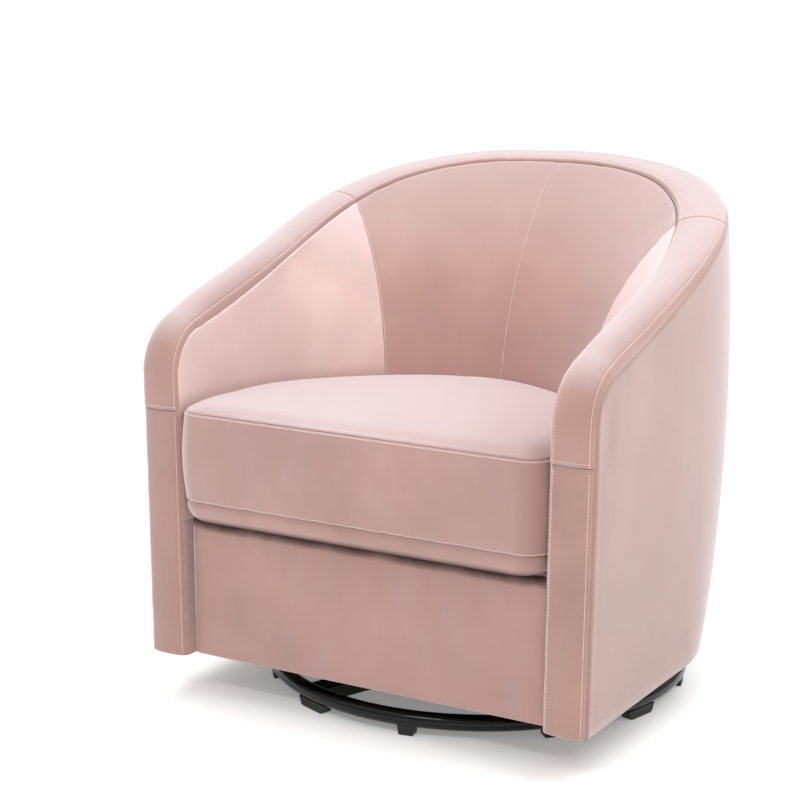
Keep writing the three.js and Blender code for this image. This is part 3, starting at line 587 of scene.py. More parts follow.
# ---------------- outside cover
# The hem's three turns: inset and rise of the face, then of the lining behind it, in mm.
HEM_TURNS = ((22, 0.0, 22, 3.2), (3, 0.0, 11, 3.4), (0.9, 0.9, 8, 4.2))
COVER_ROWS, COVER_EASE, COVER_THICK = 46, 0.9, 8
RUN = 1.05
# The soft dent below each arm's corner: its depth, its place from the corner, and its two radii.
DENT_DEPTH, DENT_BACK, DENT_DOWN, DENT_LONG, DENT_HIGH = 1.6 * MM, 0.035, 0.010, 0.022, 0.040


def build_outside():
    half = side_stations(0.0)
    s = np.concatenate([-half[:0:-1], half])
    rim = rim_height(s)
    top, low = rim - SEAM_INSET, SKIRT + 3 * MM
    top_steps = SEAM_STEPS[::-1]
    heights = [lerp(low, top - top_steps[0], (k / COVER_ROWS) ** COVER_EASE) for k in range(COVER_ROWS)]
    z = np.array(heights + [top - step for step in top_steps])
    stations = np.broadcast_to(s, z.shape)
    p = outer_surface(stations, z)
    n = grid_normals(p)
    n *= np.sign(n[:1, len(s) // 2:len(s) // 2 + 1, 1:2])
    d_top = np.where(p[..., 1] < CORNER_Y, 1.0, (rim - z) * RIM_SLANT)
    d_side = edge_distance(p[..., 1], p[..., 2])
    arms = np.abs(stations) > STRAIGHT_FROM
    d = np.where(arms, np.minimum(d_side, d_top), (rim - z) * RIM_SLANT) - SEAM_INSET
    along = s * RUN
    pucker = waves(11, 0.018, 0.09)(along)[None] * 0.35 * MM * np.exp(-np.maximum(d, 0) / 0.014)
    swell = waves(12, 0.25, 0.7)(along)[None] * 0.5 * MM * np.sin(np.pi * smooth(z, SKIRT, RIM_TOP))
    from_dent = np.hypot((p[..., 1] - CORNER_Y + DENT_BACK) / DENT_LONG,
                         (z - CORNER_Z + DENT_DOWN) / DENT_HIGH)
    dent = DENT_DEPTH * np.exp(-from_dent ** 2) * arms
    front = p - n * (seam_drop(np.maximum(d, 0), stitched=False) + pucker + dent - swell)[..., None]
    level = outline(np.full(s.shape, SKIRT))

    def turned_under(inset, rise):
        x, y = inward(level, s, inset * MM)
        return np.stack([x, np.maximum(y, FRONT + SEAM_INSET), np.full(s.shape, SKIRT + rise * MM)], -1)

    back = p - n * COVER_THICK * MM
    back[0, :, 2] = SKIRT + 6 * MM
    front = np.concatenate([np.array([turned_under(*turn[:2]) for turn in HEM_TURNS]), front])
    back = np.concatenate([np.array([turned_under(*turn[2:]) for turn in HEM_TURNS]), back])
    cover = shell("cover_outside", front, back, outside_velvet, *SHELL)
    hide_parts("outer_cover")


build_outside()


# ---------------- inside panels
# Rows below the seat line, the share of the rows at which the border's seam begins, and the pad's depth.
INSIDE_LOW, INSIDE_LOW_ROWS, INSIDE_ROWS, INSIDE_TOP_SHARE, INSIDE_THICK = 0.284, 12, 44, 0.93, 16
ROOM_MIDDLE = np.array([0, -0.1, 0.45])
STITCHES_FROM_Z = 0.30


def row_lengths(p):
    """Length travelled along each row of a grid."""
    steps = np.linalg.norm(np.diff(p, axis=1), axis=2)
    return np.concatenate([np.zeros((len(p), 1)), np.cumsum(steps, axis=1)], axis=1)


def build_inside(name, stations, seams, node, seed):
    """Panel of the inside. seams are the sides, -1, 0 or 1, on which an upright seam lies at an edge."""
    upper_rows = np.linspace(0, INSIDE_TOP_SHARE, INSIDE_ROWS)[1:-1]
    share = np.concatenate([[0.0] * INSIDE_LOW_ROWS, upper_rows, 1 - SEAM_STEPS[::-1] / 0.3])
    on_arm = np.abs(stations[len(stations) // 2]) > SEAM_TOP
    if on_arm:
        follow = np.clip((STRAIGHT_FROM - np.abs(stations)) / (STRAIGHT_FROM - SEAM_TOP), 0, 1)
    else:
        follow = np.clip(np.abs(stations) / SEAM_TOP, 0, 1)
    shift = (side_seam(share) - SEAM_TOP)[:, None] * follow[None] * np.sign(stations)[None]
    grid = stations[None] + shift
    rim = rim_height(grid)
    top = rim - SEAM_INSET
    z = lerp(SEAT_LINE, top - SEAM_STEPS[-1], np.clip(share / INSIDE_TOP_SHARE, 0, 1)[:, None])
    z[:INSIDE_LOW_ROWS] = np.linspace(INSIDE_LOW, SEAT_LINE - 0.012, INSIDE_LOW_ROWS)[:, None]
    z[-len(SEAM_STEPS):] = top[-len(SEAM_STEPS):] - SEAM_STEPS[::-1, None]
    p = inner_surface(grid, z)
    n = grid_normals(p)
    row, column = len(z) // 2, len(stations) // 2
    inside = ROOM_MIDDLE - p[row, column]
    n *= np.sign(n[row, column] @ inside)
    slant = np.clip(np.abs(n[..., 2]), 0, 0.9)
    d_top = (rim - z) / np.sqrt(1 - slant ** 2) - SEAM_INSET
    front_edge = edge_distance(p[..., 1], z) - SEAM_INSET
    d = np.where(np.abs(grid) > 0.8, np.minimum(d_top, front_edge), d_top)
    drop = seam_drop(np.maximum(d, 0), roll=1.4 * MM, stitched=False)
    for side in seams:
        edge = 0 if (side < 0) != on_arm or (side == 0 and stations[0] > -SLIT * 2) else -1
        ends = distance_to_edge(p, edge)
        drop = drop + seam_drop(ends, roll=0.6 * MM, reach=12 * MM, groove=0.3 * MM, stitched=False)
        drop = drop + waves(seed + 3, 0.02, 0.08)(z) * 0.35 * MM * np.exp(-ends / 0.012)
    pucker = waves(seed, 0.02, 0.1)(stations)[None] * 0.4 * MM * np.exp(-np.maximum(d, 0) / 0.012)
    front = p - n * (drop + pucker)[..., None]
    look = arm_velvets[int(stations[0] > 0)] if on_arm else back_velvet
    panel = shell(name, front, p - n * INSIDE_THICK * MM, look, *SHELL)
    if node:
        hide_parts(node)
    return front, n, z


def distance_to_edge(p, edge):
    """Distance of each grid point from the grid's first (0) or last (-1) column, along the surface."""
    travelled = row_lengths(p)
    return travelled if edge == 0 else travelled[:, -1:] - travelled


def panel_stations(low, high):
    """Stations across a panel whose two sides are upright seams."""
    fine = np.linspace(low, high, 3000)
    travelled = plan_length(fine)
    return np.interp(across_steps(travelled[-1], 0.009), travelled, fine)


SLIT = 0.0001
back_left = panel_stations(-SEAM_TOP + SLIT, -SLIT)
back_right = -back_left[::-1]
arm_right = side_stations(SEAM_TOP + SLIT)
near_seam = np.interp(SEAM_STEPS[1:-1], [0, 0.3], [arm_right[0], arm_right[0] + 0.3 / 1.15])
arm_right = np.unique(np.concatenate([near_seam, arm_right]))
arm_left = -arm_right[::-1]

left_panel = build_inside("inside_back_left", back_left, [-1, 0], "inside_back", 21)
right_panel = build_inside("inside_back_right", back_right, [0, 1], None, 22)
build_inside("inside_arm_panel_left", arm_left, [-1], "inside_arm_left", 23)
build_inside("inside_arm_panel_right", arm_right, [1], "inside_arm_right", 24)


def column_at(front, normals, z, distance_from_edge, edge):
    """Path up a panel at a distance from its left (0) or right (-1) side, above the cushion."""
    order = slice(None) if edge == 0 else slice(None, None, -1)
    rows = front[:, order]
    out, ups = [], []
    for row, up, t in zip(rows, normals[:, order], row_lengths(rows)):
        out.append([np.interp(distance_from_edge, t, row[:, k]) for k in range(3)])
        ups.append([np.interp(distance_from_edge, t, up[:, k]) for k in range(3)])
    keep = z[:, 0] > STITCHES_FROM_Z
    return np.array(out)[keep][:-4], np.array(ups)[keep][:-4]


for name, panel, edge in (
    ("stitches_centre", left_panel, -1), ("stitches_side_left", left_panel, 0),
    ("stitches_side_right", right_panel, -1),
):
    path, ups = column_at(*panel, 2.2 * MM, edge)
    stitches(name, path, ups, thread, *SHELL)


# ---------------- border strip
def border_edges():
    """Outer and inner edge of the strip from the right arm's front round to the left one."""
    out, inner = [], []
    upright = np.concatenate([SEAM_STEPS, np.linspace(0.022, CORNER_Z - SEAT_LINE - 3 * MM, 6)])
    for z in SEAT_LINE + 0.6 * MM + upright:
        half = outline(z)[0]
        out.append([half, FRONT, z])
        inner.append([half - BORDER_FRONT, FRONT, z])
    for a in np.linspace(math.pi, math.pi / 2 + CORNER_TURN, 26)[:-1]:
        y, z = CORNER_Y + ARM_CORNER * math.cos(a), CORNER_Z + ARM_CORNER * math.sin(a)
        half = outline(z)[0]
        out.append([half, y, z])
        inner.append([half - BORDER_FRONT, y, z])
    last = arm_station(CORNER_END)
    fine = np.linspace(last, 0, 3000)
    rim = rim_height(fine)
    line = outer_surface(fine, rim)
    travelled = path_length(line)
    cross = np.interp(-SEAM_TOP, -fine, travelled)
    near = np.concatenate([-SEAM_STEPS[:0:-1], SEAM_STEPS]) + cross
    even = np.arange(0, travelled[-1], 0.006)
    even = even[np.abs(even - cross) > SEAM_STEPS[-1] + 2 * MM]
    steps = np.sort(np.concatenate([even, near, travelled[-1:]]))
    s = np.interp(steps, travelled, fine)
    rim = rim_height(s)
    x, y = inward(outline(rim), s, border_width(s))
    out = np.vstack([np.array(out), outer_surface(s, rim)])
    inner = np.vstack([np.array(inner), np.stack([x, y, rim], -1)])
    flip = np.array([-1, 1, 1])
    out = np.vstack([out, out[-2::-1] * flip])
    inner = np.vstack([inner, inner[-2::-1] * flip])
    return out, inner


# Lengths from a front end over which the strip fills out on the arm, then thins towards the back, and
# how pointed its section is in front.
FILLS_OUT, THINS, FRONT_POWER = (0.045, 0.21), (0.20, 0.62), 0.75
BORDER_CELLS, BORDER_THICK, TRUE_REACH = 0.075, 9, 0.02


def build_border():
    out, inner = border_edges()
    width = np.linalg.norm(inner - out, axis=1)
    across = unit(inner - out)
    middle = (out + inner) / 2
    along = unit(np.gradient(middle, axis=0))
    up = unit(np.cross(along, across))
    up *= np.sign(up[len(up) // 2, 2])
    u = path_length(middle)
    cells = across_steps(BORDER_CELLS - 2 * SEAM_INSET, 0.006)
    share = cells / cells[-1]
    d = SEAM_INSET + share[None] * (width - 2 * SEAM_INSET)[:, None]
    # keep the columns beside the seams at their true distance from them
    from_out = np.broadcast_to(cells[None], d.shape)
    from_in = np.broadcast_to((cells[-1] - cells)[None], d.shape)
    d = np.where(from_out < TRUE_REACH, SEAM_INSET + from_out, d)
    d = np.where(from_in < TRUE_REACH, width[:, None] - SEAM_INSET - from_in, d)
    to_out, to_in = d - SEAM_INSET, width[:, None] - SEAM_INSET - d
    # the strip is puffiest on top of the arms and round the back
    from_end = np.minimum(u, u[-1] - u)
    full = lerp(BORDER_CROWN_FRONT, BORDER_CROWN_ARM, smooth(from_end, *FILLS_OUT))
    full = lerp(full, BORDER_CROWN_BACK, smooth(from_end, *THINS))
    roundness = lerp(FRONT_POWER, 1.0, smooth(from_end, *FILLS_OUT))[:, None]
    crown = full[:, None] * np.clip(4 * d * (width[:, None] - d) / width[:, None] ** 2, 0, 1) ** roundness
    pucker = waves(31, 0.016, 0.08)(u)[:, None] * np.exp(-to_out / 0.012)
    pucker = pucker + waves(32, 0.016, 0.08)(u)[:, None] * np.exp(-to_in / 0.012)
    drop = seam_drop(to_out) + seam_drop(to_in, roll=1.4 * MM) + pucker * 0.35 * MM
    right = np.argmin(np.abs(u - cross_seam_length(out, u)))
    for at in (u[right], u[-1] - u[right]):
        drop = drop + seam_drop(np.abs(u - at), roll=0.8 * MM, groove=0.8 * MM, stitched=False)[:, None]
    drop = drop + seam_drop(from_end, roll=1.0 * MM, groove=1.4 * MM)[:, None]
    swell = waves(33, 0.12, 0.4)(u)[:, None] * 0.5 * MM
    front = out[:, None] + across[:, None] * d[..., None] + up[:, None] * (crown + swell - drop)[..., None]
    inset = np.clip(d, SEAM_INSET + 0.5 * MM, width[:, None] - SEAM_INSET - 0.5 * MM)
    back = out[:, None] + across[:, None] * inset[..., None] - up[:, None] * BORDER_THICK * MM
    border = shell("border_strip", front, back, shell_velvet, *SHELL)
    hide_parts("rim_border")
    ups = np.broadcast_to(up[:, None], front.shape)
    outer = int(np.argmin(np.abs(cells - STITCH_AT)))
    inside = len(cells) - 1 - outer
    stitches("stitches_rim_outside", front[:, outer], ups[:, outer], thread, *SHELL)
    stitches("stitches_rim_inside", front[:, inside], ups[:, inside], thread, *SHELL)
    cut = slice(6, -6)
    for name, at in (("right", u[right]), ("left", u[-1] - u[right])):
        row = int(np.argmin(np.abs(u - at - 3.4 * MM)))
        stitches(f"stitches_rim_cross_{name}", front[row, cut], ups[row, cut], thread, *SHELL)
    for name, row in (("right", outer), ("left", len(u) - 1 - outer)):
        stitches(f"stitches_arm_top_{name}", front[row, cut], ups[row, cut], thread, *SHELL)


def cross_seam_length(out, u):
    """Length along the strip at which its right cross seam lies."""
    x, y, z = outer_surface(np.array(SEAM_TOP), rim_height(np.array(SEAM_TOP)))
    half = len(u) // 2
    return u[int(np.argmin(np.linalg.norm(out[:half] - np.array([x, y, z]), axis=1)))]


build_border()


# ---------------- arm fronts
HEM_INSETS = [14 * MM, 3 * MM, 0.9 * MM]
SUNK = 4 * MM


def build_arm_front(side, hand):
    z = np.concatenate([
        [SKIRT, SKIRT, SKIRT + 0.9 * MM], np.linspace(SKIRT + 3 * MM, SEAT_LINE - 0.02, 44),
        SEAT_LINE - 0.6 * MM - SEAM_STEPS[::-1],
    ])
    tuck = np.zeros(len(z))
    tuck[:3] = HEM_INSETS
    half = outline(z)[0]
    face = across_steps(BORDER_FRONT - 2 * SEAM_INSET, 0.006)
    wrap = np.concatenate([SEAM_STEPS[1:], [0.0195, 0.022, 0.025]])
    x_face = (half[:, None] - SEAM_INSET) - face[None]
    to_out = np.broadcast_to(face[None], x_face.shape)
    to_in = np.broadcast_to((face[-1] - face)[None], x_face.shape)
    crown = BORDER_CROWN_FRONT * np.clip(4 * to_out * to_in / face[-1] ** 2, 0, 1) ** FRONT_POWER
    u = z - SKIRT
    pucker = waves(41 + side, 0.018, 0.09)(u)[:, None] * np.exp(-to_out / 0.012)
    pucker = pucker + waves(43 + side, 0.018, 0.09)(u)[:, None] * np.exp(-to_in / 0.012)
    drop = seam_drop(to_out) + seam_drop(to_in, stitched=False) + pucker * 0.4 * MM
    to_cross = SEAT_LINE - 0.6 * MM - z
    drop = drop + seam_drop(to_cross, roll=1.0 * MM, groove=1.4 * MM, stitched=False)[:, None]
    y_face = FRONT + drop - crown + tuck[:, None]
    # round the inner corner, back along the arm's inner side to the apron
    y_wrap = FRONT + SEAM_INSET + wrap[None] + np.zeros((len(z), 1))
    sunk = SUNK * smooth(z, 0.283, 0.291)[:, None]
    rolled = seam_drop(np.broadcast_to(wrap[None], y_wrap.shape), stitched=False)
    ripple = waves(47 + side, 0.03, 0.12)(u)[:, None] * 0.5 * MM
    x_wrap = (half[:, None] - BORDER_FRONT) + rolled + sunk
    x_wrap = x_wrap + ripple + np.minimum(tuck[:, None], 3 * MM)
    y_wrap = np.maximum(y_wrap, FRONT + tuck[:, None])
    x = np.concatenate([x_face, x_wrap], axis=1) * side
    y = np.concatenate([y_face, y_wrap], axis=1)
    grid_z = np.broadcast_to(z[:, None], x.shape).copy()
    front = np.stack([x, y, grid_z], -1)
    narrow, wide = half - BORDER_FRONT + 9 * MM, half - SEAM_INSET - 0.5 * MM
    in_x = np.clip(np.abs(x), narrow[:, None], wide[:, None]) * side
    back_y = np.maximum(FRONT + 10 * MM + tuck[:, None], y + 0.2 * MM)
    back_z = np.maximum(grid_z, SKIRT + 4 * MM)
    back = np.stack([in_x, back_y, back_z], -1)
    strip = shell(f"arm_front_strip_{hand}", front, back, front_velvet, *SHELL)
    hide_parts(f"arm_front_{hand}")
    rows = slice(3, -9)
    normals = np.broadcast_to(np.array([0, -1.0, 0]), front.shape)
    outer = int(np.argmin(np.abs(face - STITCH_AT)))
    inside = len(face) - 1 - outer
    stitches(f"stitches_arm_outside_{hand}", front[rows, outer], normals[rows, outer], thread, *SHELL)
    stitches(f"stitches_arm_inside_{hand}", front[rows, inside], normals[rows, inside], thread, *SHELL)


for side, hand in ((-1, "left"), (1, "right")):
    build_arm_front(side, hand)


# ---------------- apron
APRON_HALF, APRON_ROLL, APRON_BULGE, CREASE_DEPTH = 0.3025, 13 * MM, 3.0 * MM, 0.8 * MM


def build_apron():
    x = np.linspace(-APRON_HALF, APRON_HALF, 90)
    roll = APRON_ROLL
    rows = [(14 * MM, SKIRT), (3 * MM, SKIRT), (0.9 * MM, SKIRT + 0.9 * MM)]
    rows += [(0.0, z) for z in np.linspace(SKIRT + 3 * MM, APRON_TOP - roll, 40)]
    for a in np.linspace(0.2, math.pi / 2, 8):
        rows.append((roll * (1 - math.cos(a)), APRON_TOP - roll + roll * math.sin(a)))
    depth = np.array([r[0] for r in rows])[:, None]
    z = np.array([r[1] for r in rows])[:, None]
    full = np.clip((z - SKIRT) / (APRON_TOP - SKIRT), 0, 1)
    bulge = APRON_BULGE * np.sin(np.pi * full) ** 0.7 * (1 - (x[None] / APRON_HALF) ** 8)
    creases = waves(51, 0.03, 0.11)(x + 0.15 * (z - 0.2))
    creases = creases * CREASE_DEPTH * np.exp(-((z - (APRON_TOP - 0.022)) / 0.03) ** 2)
    edge = seam_drop(APRON_HALF - np.abs(x), roll=3 * MM, reach=14 * MM, stitched=False)[None]
    y = APRON_FACE + depth + edge - bulge + creases
    grid_x = np.broadcast_to(x[None], y.shape)
    front = np.stack([grid_x, y, np.broadcast_to(z, y.shape)], -1)
    back = front.copy()
    back[..., 1] = np.maximum(APRON_FACE + 13 * MM, y + 1 * MM)
    back[..., 2] = np.clip(back[..., 2], SKIRT + 3 * MM, APRON_TOP - 3 * MM)
    apron = shell("apron_panel", front, back, apron_velvet, *SHELL)
    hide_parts("apron")


build_apron()


# ---------------- seat cushion
CUSHION_FRONT, CUSHION_CORNER, CUSHION_MIDDLE = -0.372, 0.037, -0.160
TOP_SEAM, LOW_SEAM, CUSHION_LOW, CUSHION_TOP = 0.4568, 0.3210, 0.2895, 0.474
# The boxing's bulge, the length over which the top rises from its seam, and how far its middle lies.
BOXING_BULGE, TOP_RISE, TOP_REACH = 5.5 * MM, 0.048, 0.30
TOP_STEPS = [0.024, 0.034, 0.046, 0.06, 0.076, 0.094, 0.115, 0.14, 0.165, 0.19, 0.215, 0.235]
CUSHION_LEAN, CUSHION_WIDER = 8 * MM, 7 * MM
VOXEL, HELD_WITHIN, LAST_FRAME, MOST_MOVEMENT, SMOOTHINGS = 0.0065, 0.006, 22, 0.004, 10
CLOTH = {
    "quality": 6, "mass": 0.3, "use_pressure": True, "uniform_pressure_force": 4.5, "tension_stiffness": 12,
    "compression_stiffness": 12, "shear_stiffness": 5, "bending_stiffness": 0.6, "shrink_min": -0.012,
    "vertex_group_mass": "held",
}


def seat_loop(set_in, front, corner, spacing=0.005):
    """Plan loop of the room between the arms, closed across the front."""
    s = np.linspace(-0.75, 0.75, 600)
    bx, by = inward(SEAT, s, set_in, SEAT_TWIST)
    a = np.linspace(0, math.pi / 2, 40)
    x, y = SEAT_HALF - set_in, front
    right = np.stack([x - corner + corner * np.cos(a), y + corner - corner * np.sin(a)], -1)
    left = np.stack([-x + corner - corner * np.sin(a), y + corner - corner * np.cos(a)], -1)
    loop = np.vstack([np.stack([bx, by], -1), right, left])
    closed = np.vstack([loop, loop[:1]])
    u = path_length(closed)
    count = int(u[-1] / spacing)
    at = np.linspace(0, u[-1], count + 1)[:-1]
    return np.stack([np.interp(at, u, closed[:, k]) for k in range(2)], -1)


def cushion_rings(loop):
    """Rings from the middle of the underside, up the boxing, to the middle of the top."""
    middle = np.array([0, CUSHION_MIDDLE])
    rings, marks = [], []

    def ring(share, z, grow=0.0):
        centre = loop * share + middle * (1 - share)
        out = unit(loop - middle)
        rings.append(np.column_stack([centre + out * grow, np.full(len(loop), z)]))

    for share in (0.15, 0.35, 0.55, 0.72, 0.83, 0.90):
        ring(share, CUSHION_LOW)
        marks.append("under")
    corner = LOW_SEAM - CUSHION_LOW
    for a in np.linspace(0.15, 1.0, 9):
        turn = a * math.pi / 2
        ring(0.935 + 0.065 * math.sin(turn), LOW_SEAM - corner * math.cos(turn))
        marks.append("under")
    boxing = TOP_SEAM - LOW_SEAM
    for d in across_steps(boxing, 0.008)[1:]:
        bulge = BOXING_BULGE * math.sin(math.pi * d / boxing) ** 0.8
        ring(1.0, LOW_SEAM + d, bulge)
        marks.append("boxing")
    for d in [*SEAM_STEPS[1:], *TOP_STEPS]:
        rise = (CUSHION_TOP - 3 * MM - TOP_SEAM) * (1 - (1 - min(d / TOP_RISE, 1)) ** 2.2)
        ring(1 - d / TOP_REACH, TOP_SEAM + rise)
        marks.append("top")
    return np.array(rings), marks


def evaluated(obj):
    """Mesh of an object with its modifiers, and the mesh's points."""
    mesh = bpy.data.meshes.new_from_object(obj.evaluated_get(bpy.context.evaluated_depsgraph_get()))
    points = np.zeros(len(mesh.vertices) * 3)
    mesh.vertices.foreach_get("co", points)
    return mesh, points.reshape(-1, 3)


def tree_of(points):
    tree = KDTree(len(points))
    for i, q in enumerate(points):
        tree.insert(q, i)
    tree.balance()
    return tree


def simulate_cushion(points):
    """Inflates a coarse copy as cloth, held along its two seams, and returns each point's movement."""
    n, m = points.shape[:2]
    index = np.arange(n * m).reshape(n, m)
    index = np.hstack([index, index[:, :1]])
    faces = grid_faces(index)
    flat = points.reshape(-1, 3)
    ends = [points[0].mean(0), points[-1].mean(0)]
    for k, row in ((0, index[0]), (1, index[-1])):
        faces += [[int(a), int(b), n * m + k] for a, b in zip(row[:-1], row[1:])]
    mesh = bpy.data.meshes.new("cushion_trial")
    mesh.from_pydata(np.vstack([flat, ends]).tolist(), [], faces)
    trial = bpy.data.objects.new("cushion_trial", mesh)
    scene.collection.objects.link(trial)
    remesh = trial.modifiers.new("remesh", "REMESH")
    remesh.mode = "VOXEL"
    remesh.voxel_size = VOXEL
    bpy.context.view_layer.update()
    trial_mesh, start = evaluated(trial)
    trial.modifiers.clear()
    trial.data = trial_mesh
    held = trial.vertex_groups.new(name="held")
    seam_rows = [int(np.argmin(np.abs(points[:, 0, 2] - z))) for z in (LOW_SEAM, TOP_SEAM)]
    seams = tree_of(np.vstack([points[row] for row in seam_rows]))
    for i, q in enumerate(start):
        if seams.find(q)[2] < HELD_WITHIN:
            held.add([i], 1.0, "REPLACE")
        elif q[2] < CUSHION_LOW + 0.004:
            held.add([i], 0.7, "REPLACE")
    cloth = trial.modifiers.new("cloth", "CLOTH")
    for key, value in CLOTH.items():
        setattr(cloth.settings, key, value)
    cloth.settings.effector_weights.gravity = 0
    cloth.point_cache.frame_start = 1
    cloth.point_cache.frame_end = LAST_FRAME
    for step in range(1, LAST_FRAME + 1):
        scene.frame_set(step)
    end = evaluated(trial)[1]
    bpy.data.objects.remove(trial)
    scene.frame_set(1)
    move = end - start
    far = np.linalg.norm(move, axis=1, keepdims=True)
    move *= np.minimum(1, MOST_MOVEMENT / np.maximum(far, 1e-9))
    tree = tree_of(start)
    out = np.zeros_like(flat)
    for i, q in enumerate(flat):
        near = tree.find_n(q, 6)
        weight = np.array([1 / (g + 0.0015) ** 2 for _, _, g in near])
        out[i] = (move[[k for _, k, _ in near]] * weight[:, None]).sum(0) / weight.sum()
    out = out.reshape(points.shape)
    for _ in range(SMOOTHINGS):
        out = 0.5 * out + 0.25 * (np.roll(out, 1, axis=1) + np.roll(out, -1, axis=1))
        out[1:-1] = 0.5 * out[1:-1] + 0.25 * (out[2:] + out[:-2])
    return out


def build_cushion():
    loop = seat_loop(3.5 * MM, CUSHION_FRONT, CUSHION_CORNER)
    # between the arm fronts the room is wider than between the arms
    wider = CUSHION_WIDER * smooth(-loop[:, 1], 0.250, 0.315)
    loop[:, 0] += np.sign(loop[:, 0]) * wider * np.clip(np.abs(loop[:, 0]) / SEAT_HALF, 0, 1)
    rings, marks = cushion_rings(loop)
    # the top falls towards the back
    lean = np.clip((rings[..., 2] - LOW_SEAM) / (TOP_SEAM - LOW_SEAM), 0, 1)
    rings[..., 2] -= CUSHION_LEAN * smooth(rings[..., 1], -0.28, 0.04) * lean
    marks = np.array(marks)
    shape = rings + simulate_cushion(rings)
    closed = np.concatenate([shape[:, -1:], shape, shape[:, :1]], axis=1)
    normals = grid_normals(closed)[:, 1:-1]
    mid = len(shape) - 12
    normals *= np.sign(normals[mid, 10, 2])
    u = path_length(np.vstack([loop, loop[:1]]))[:-1]
    profile = path_length(shape[:, len(loop) // 2])
    lower = len(marks[marks == "under"]) - 1
    upper = lower + len(marks[marks == "boxing"])
    drop = np.zeros(shape.shape[:2])
    for row, seed in ((lower, 61), (upper, 62)):
        d = np.abs(profile - profile[row])
        drop += seam_drop(d, roll=1.6 * MM, reach=8 * MM, groove=2.2 * MM, stitched=False)[:, None]
        drop += (waves(seed, 0.014, 0.06)(u)[None] * 0.55 * MM) * np.exp(-d / 0.010)[:, None]
        ridge = np.exp(-((d - 2.4 * MM) / (1.4 * MM)) ** 2) * 0.5 * MM
        drop -= ridge[:, None]
    shape = shape - normals * drop[..., None]
    low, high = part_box("seat_cushion")
    shape[..., 2] = np.clip(shape[..., 2], low[2] + 0.2 * MM, high[2] + 6 * MM)
    cushion = stack("cushion_cover", shape, cushion_velvet, "cushion")
    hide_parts("seat_cushion")
    for name, row, side in (("top", upper, -1), ("bottom", lower, 1)):
        d = (profile - profile[row]) * side
        at = int(np.argmin(np.abs(d - 3.4 * MM)))
        path = np.vstack([shape[at], shape[at, :1]])
        ups = np.vstack([normals[at], normals[at, :1]])
        stitches(f"stitches_cushion_{name}", path, ups, thread, "cushion", "cushion_velvet")


build_cushion()


# ---------------- seat deck
def deck_part(name, loop, middle, material):
    low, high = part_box("seat_deck")
    rows = [(0.3, low[2]), (0.7, low[2]), (0.97, low[2]), (1.0, low[2] + 3 * MM), (1.0, high[2] - 6 * MM)]
    rows += [(0.996, high[2] - 3 * MM), (0.985, high[2] - 1.2 * MM), (0.96, high[2] - 0.4 * MM)]
    rows += [(share, high[2] - 0.2 * MM) for share in (0.9, 0.8, 0.65, 0.5, 0.35, 0.2, 0.08)]
    rings = []
    for share, z in rows:
        rings.append(np.column_stack([loop * share + middle * (1 - share), np.full(len(loop), z)]))
    part = stack(name, np.array(rings), material, "chair")
    return part


def build_deck():
    """Lined deck with a velvet strip along its front, where it shows beside the cushion."""
    joint = -0.250
    low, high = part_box("seat_deck")
    room = seat_loop(2 * MM, joint, 0.002, 0.01)
    lined = deck_part("deck_lining", room, np.array([0, -0.1]), black_lining)
    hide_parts("seat_deck")
    x = np.linspace(-0.2975, 0.2975, 60)
    y0, y1 = low[1] + 0.3 * MM, joint + 1.5 * MM
    across = np.linspace(y0, y1, 9)[1:-1]
    loop = np.vstack([
        np.column_stack([x, np.full(60, y0)]), np.column_stack([np.full(7, x[-1]), across]),
        np.column_stack([x[::-1], np.full(60, y1)]), np.column_stack([np.full(7, x[0]), across[::-1]]),
    ])
    deck_part("deck_front_strip", loop, np.array([0, (y0 + y1) / 2]), shell_velvet)


build_deck()


# ---------------- dust cover
# Where the sheet is cut out: beside the frame's back, and round the seat frame's risers.
CUT_BACK_Y, CUT_BACK_X = 0.078, 0.250
RISER_Y, RISER_X = (-0.187, -0.146), (0.167, 0.209)
DUST_STEP, DUST_SAG, DUST_THICK = 0.012, 1.1 * MM, 0.7 * MM


def build_dust_cover():
    low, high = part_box("dust_cover")
    top = (low[2] + high[2]) / 2
    xs, ys = (np.linspace(low[k], high[k], len(np.arange(low[k], high[k] + DUST_STEP / 2, DUST_STEP)))
              for k in (0, 1))
    index, points, faces = {}, [], []

    def point(i, j):
        if (i, j) not in index:
            sag = DUST_SAG * math.sin(math.pi * i / (len(xs) - 1)) * math.sin(math.pi * j / (len(ys) - 1))
            index[i, j] = len(points)
            points.append((xs[i], ys[j], top - sag))
        return index[i, j]

    for i in range(len(xs) - 1):
        for j in range(len(ys) - 1):
            x, y = (xs[i] + xs[i + 1]) / 2, (ys[j] + ys[j + 1]) / 2
            beside = y > CUT_BACK_Y and abs(x) > CUT_BACK_X
            riser = RISER_Y[0] < y < RISER_Y[1] and RISER_X[0] < abs(x) < RISER_X[1]
            if not beside and not riser:
                faces.append([point(i, j), point(i + 1, j), point(i + 1, j + 1), point(i, j + 1)])
    mesh = bpy.data.meshes.new("dust_sheet")
    mesh.from_pydata(points, [], faces)
    mesh.materials.append(black_lining)
    mesh.shade_smooth()
    sheet = bpy.data.objects.new("dust_sheet", mesh)
    scene.collection.objects.link(sheet)
    thick = sheet.modifiers.new("thickness", "SOLIDIFY")
    thick.thickness = DUST_THICK
    thick.offset = 0
    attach(sheet, "chair")
    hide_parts("dust_cover")


build_dust_cover()


# ---------------- base
SWIVEL_Y, RING_R, TUBE_R, RING_Z = 0.015, 0.3222, 0.0125, 0.025
SPOKE_TURN = (-111, -13, 69, 167)
FOOT_TURN = (-80, -42, 15, 41, 100, 138, 195, 221)
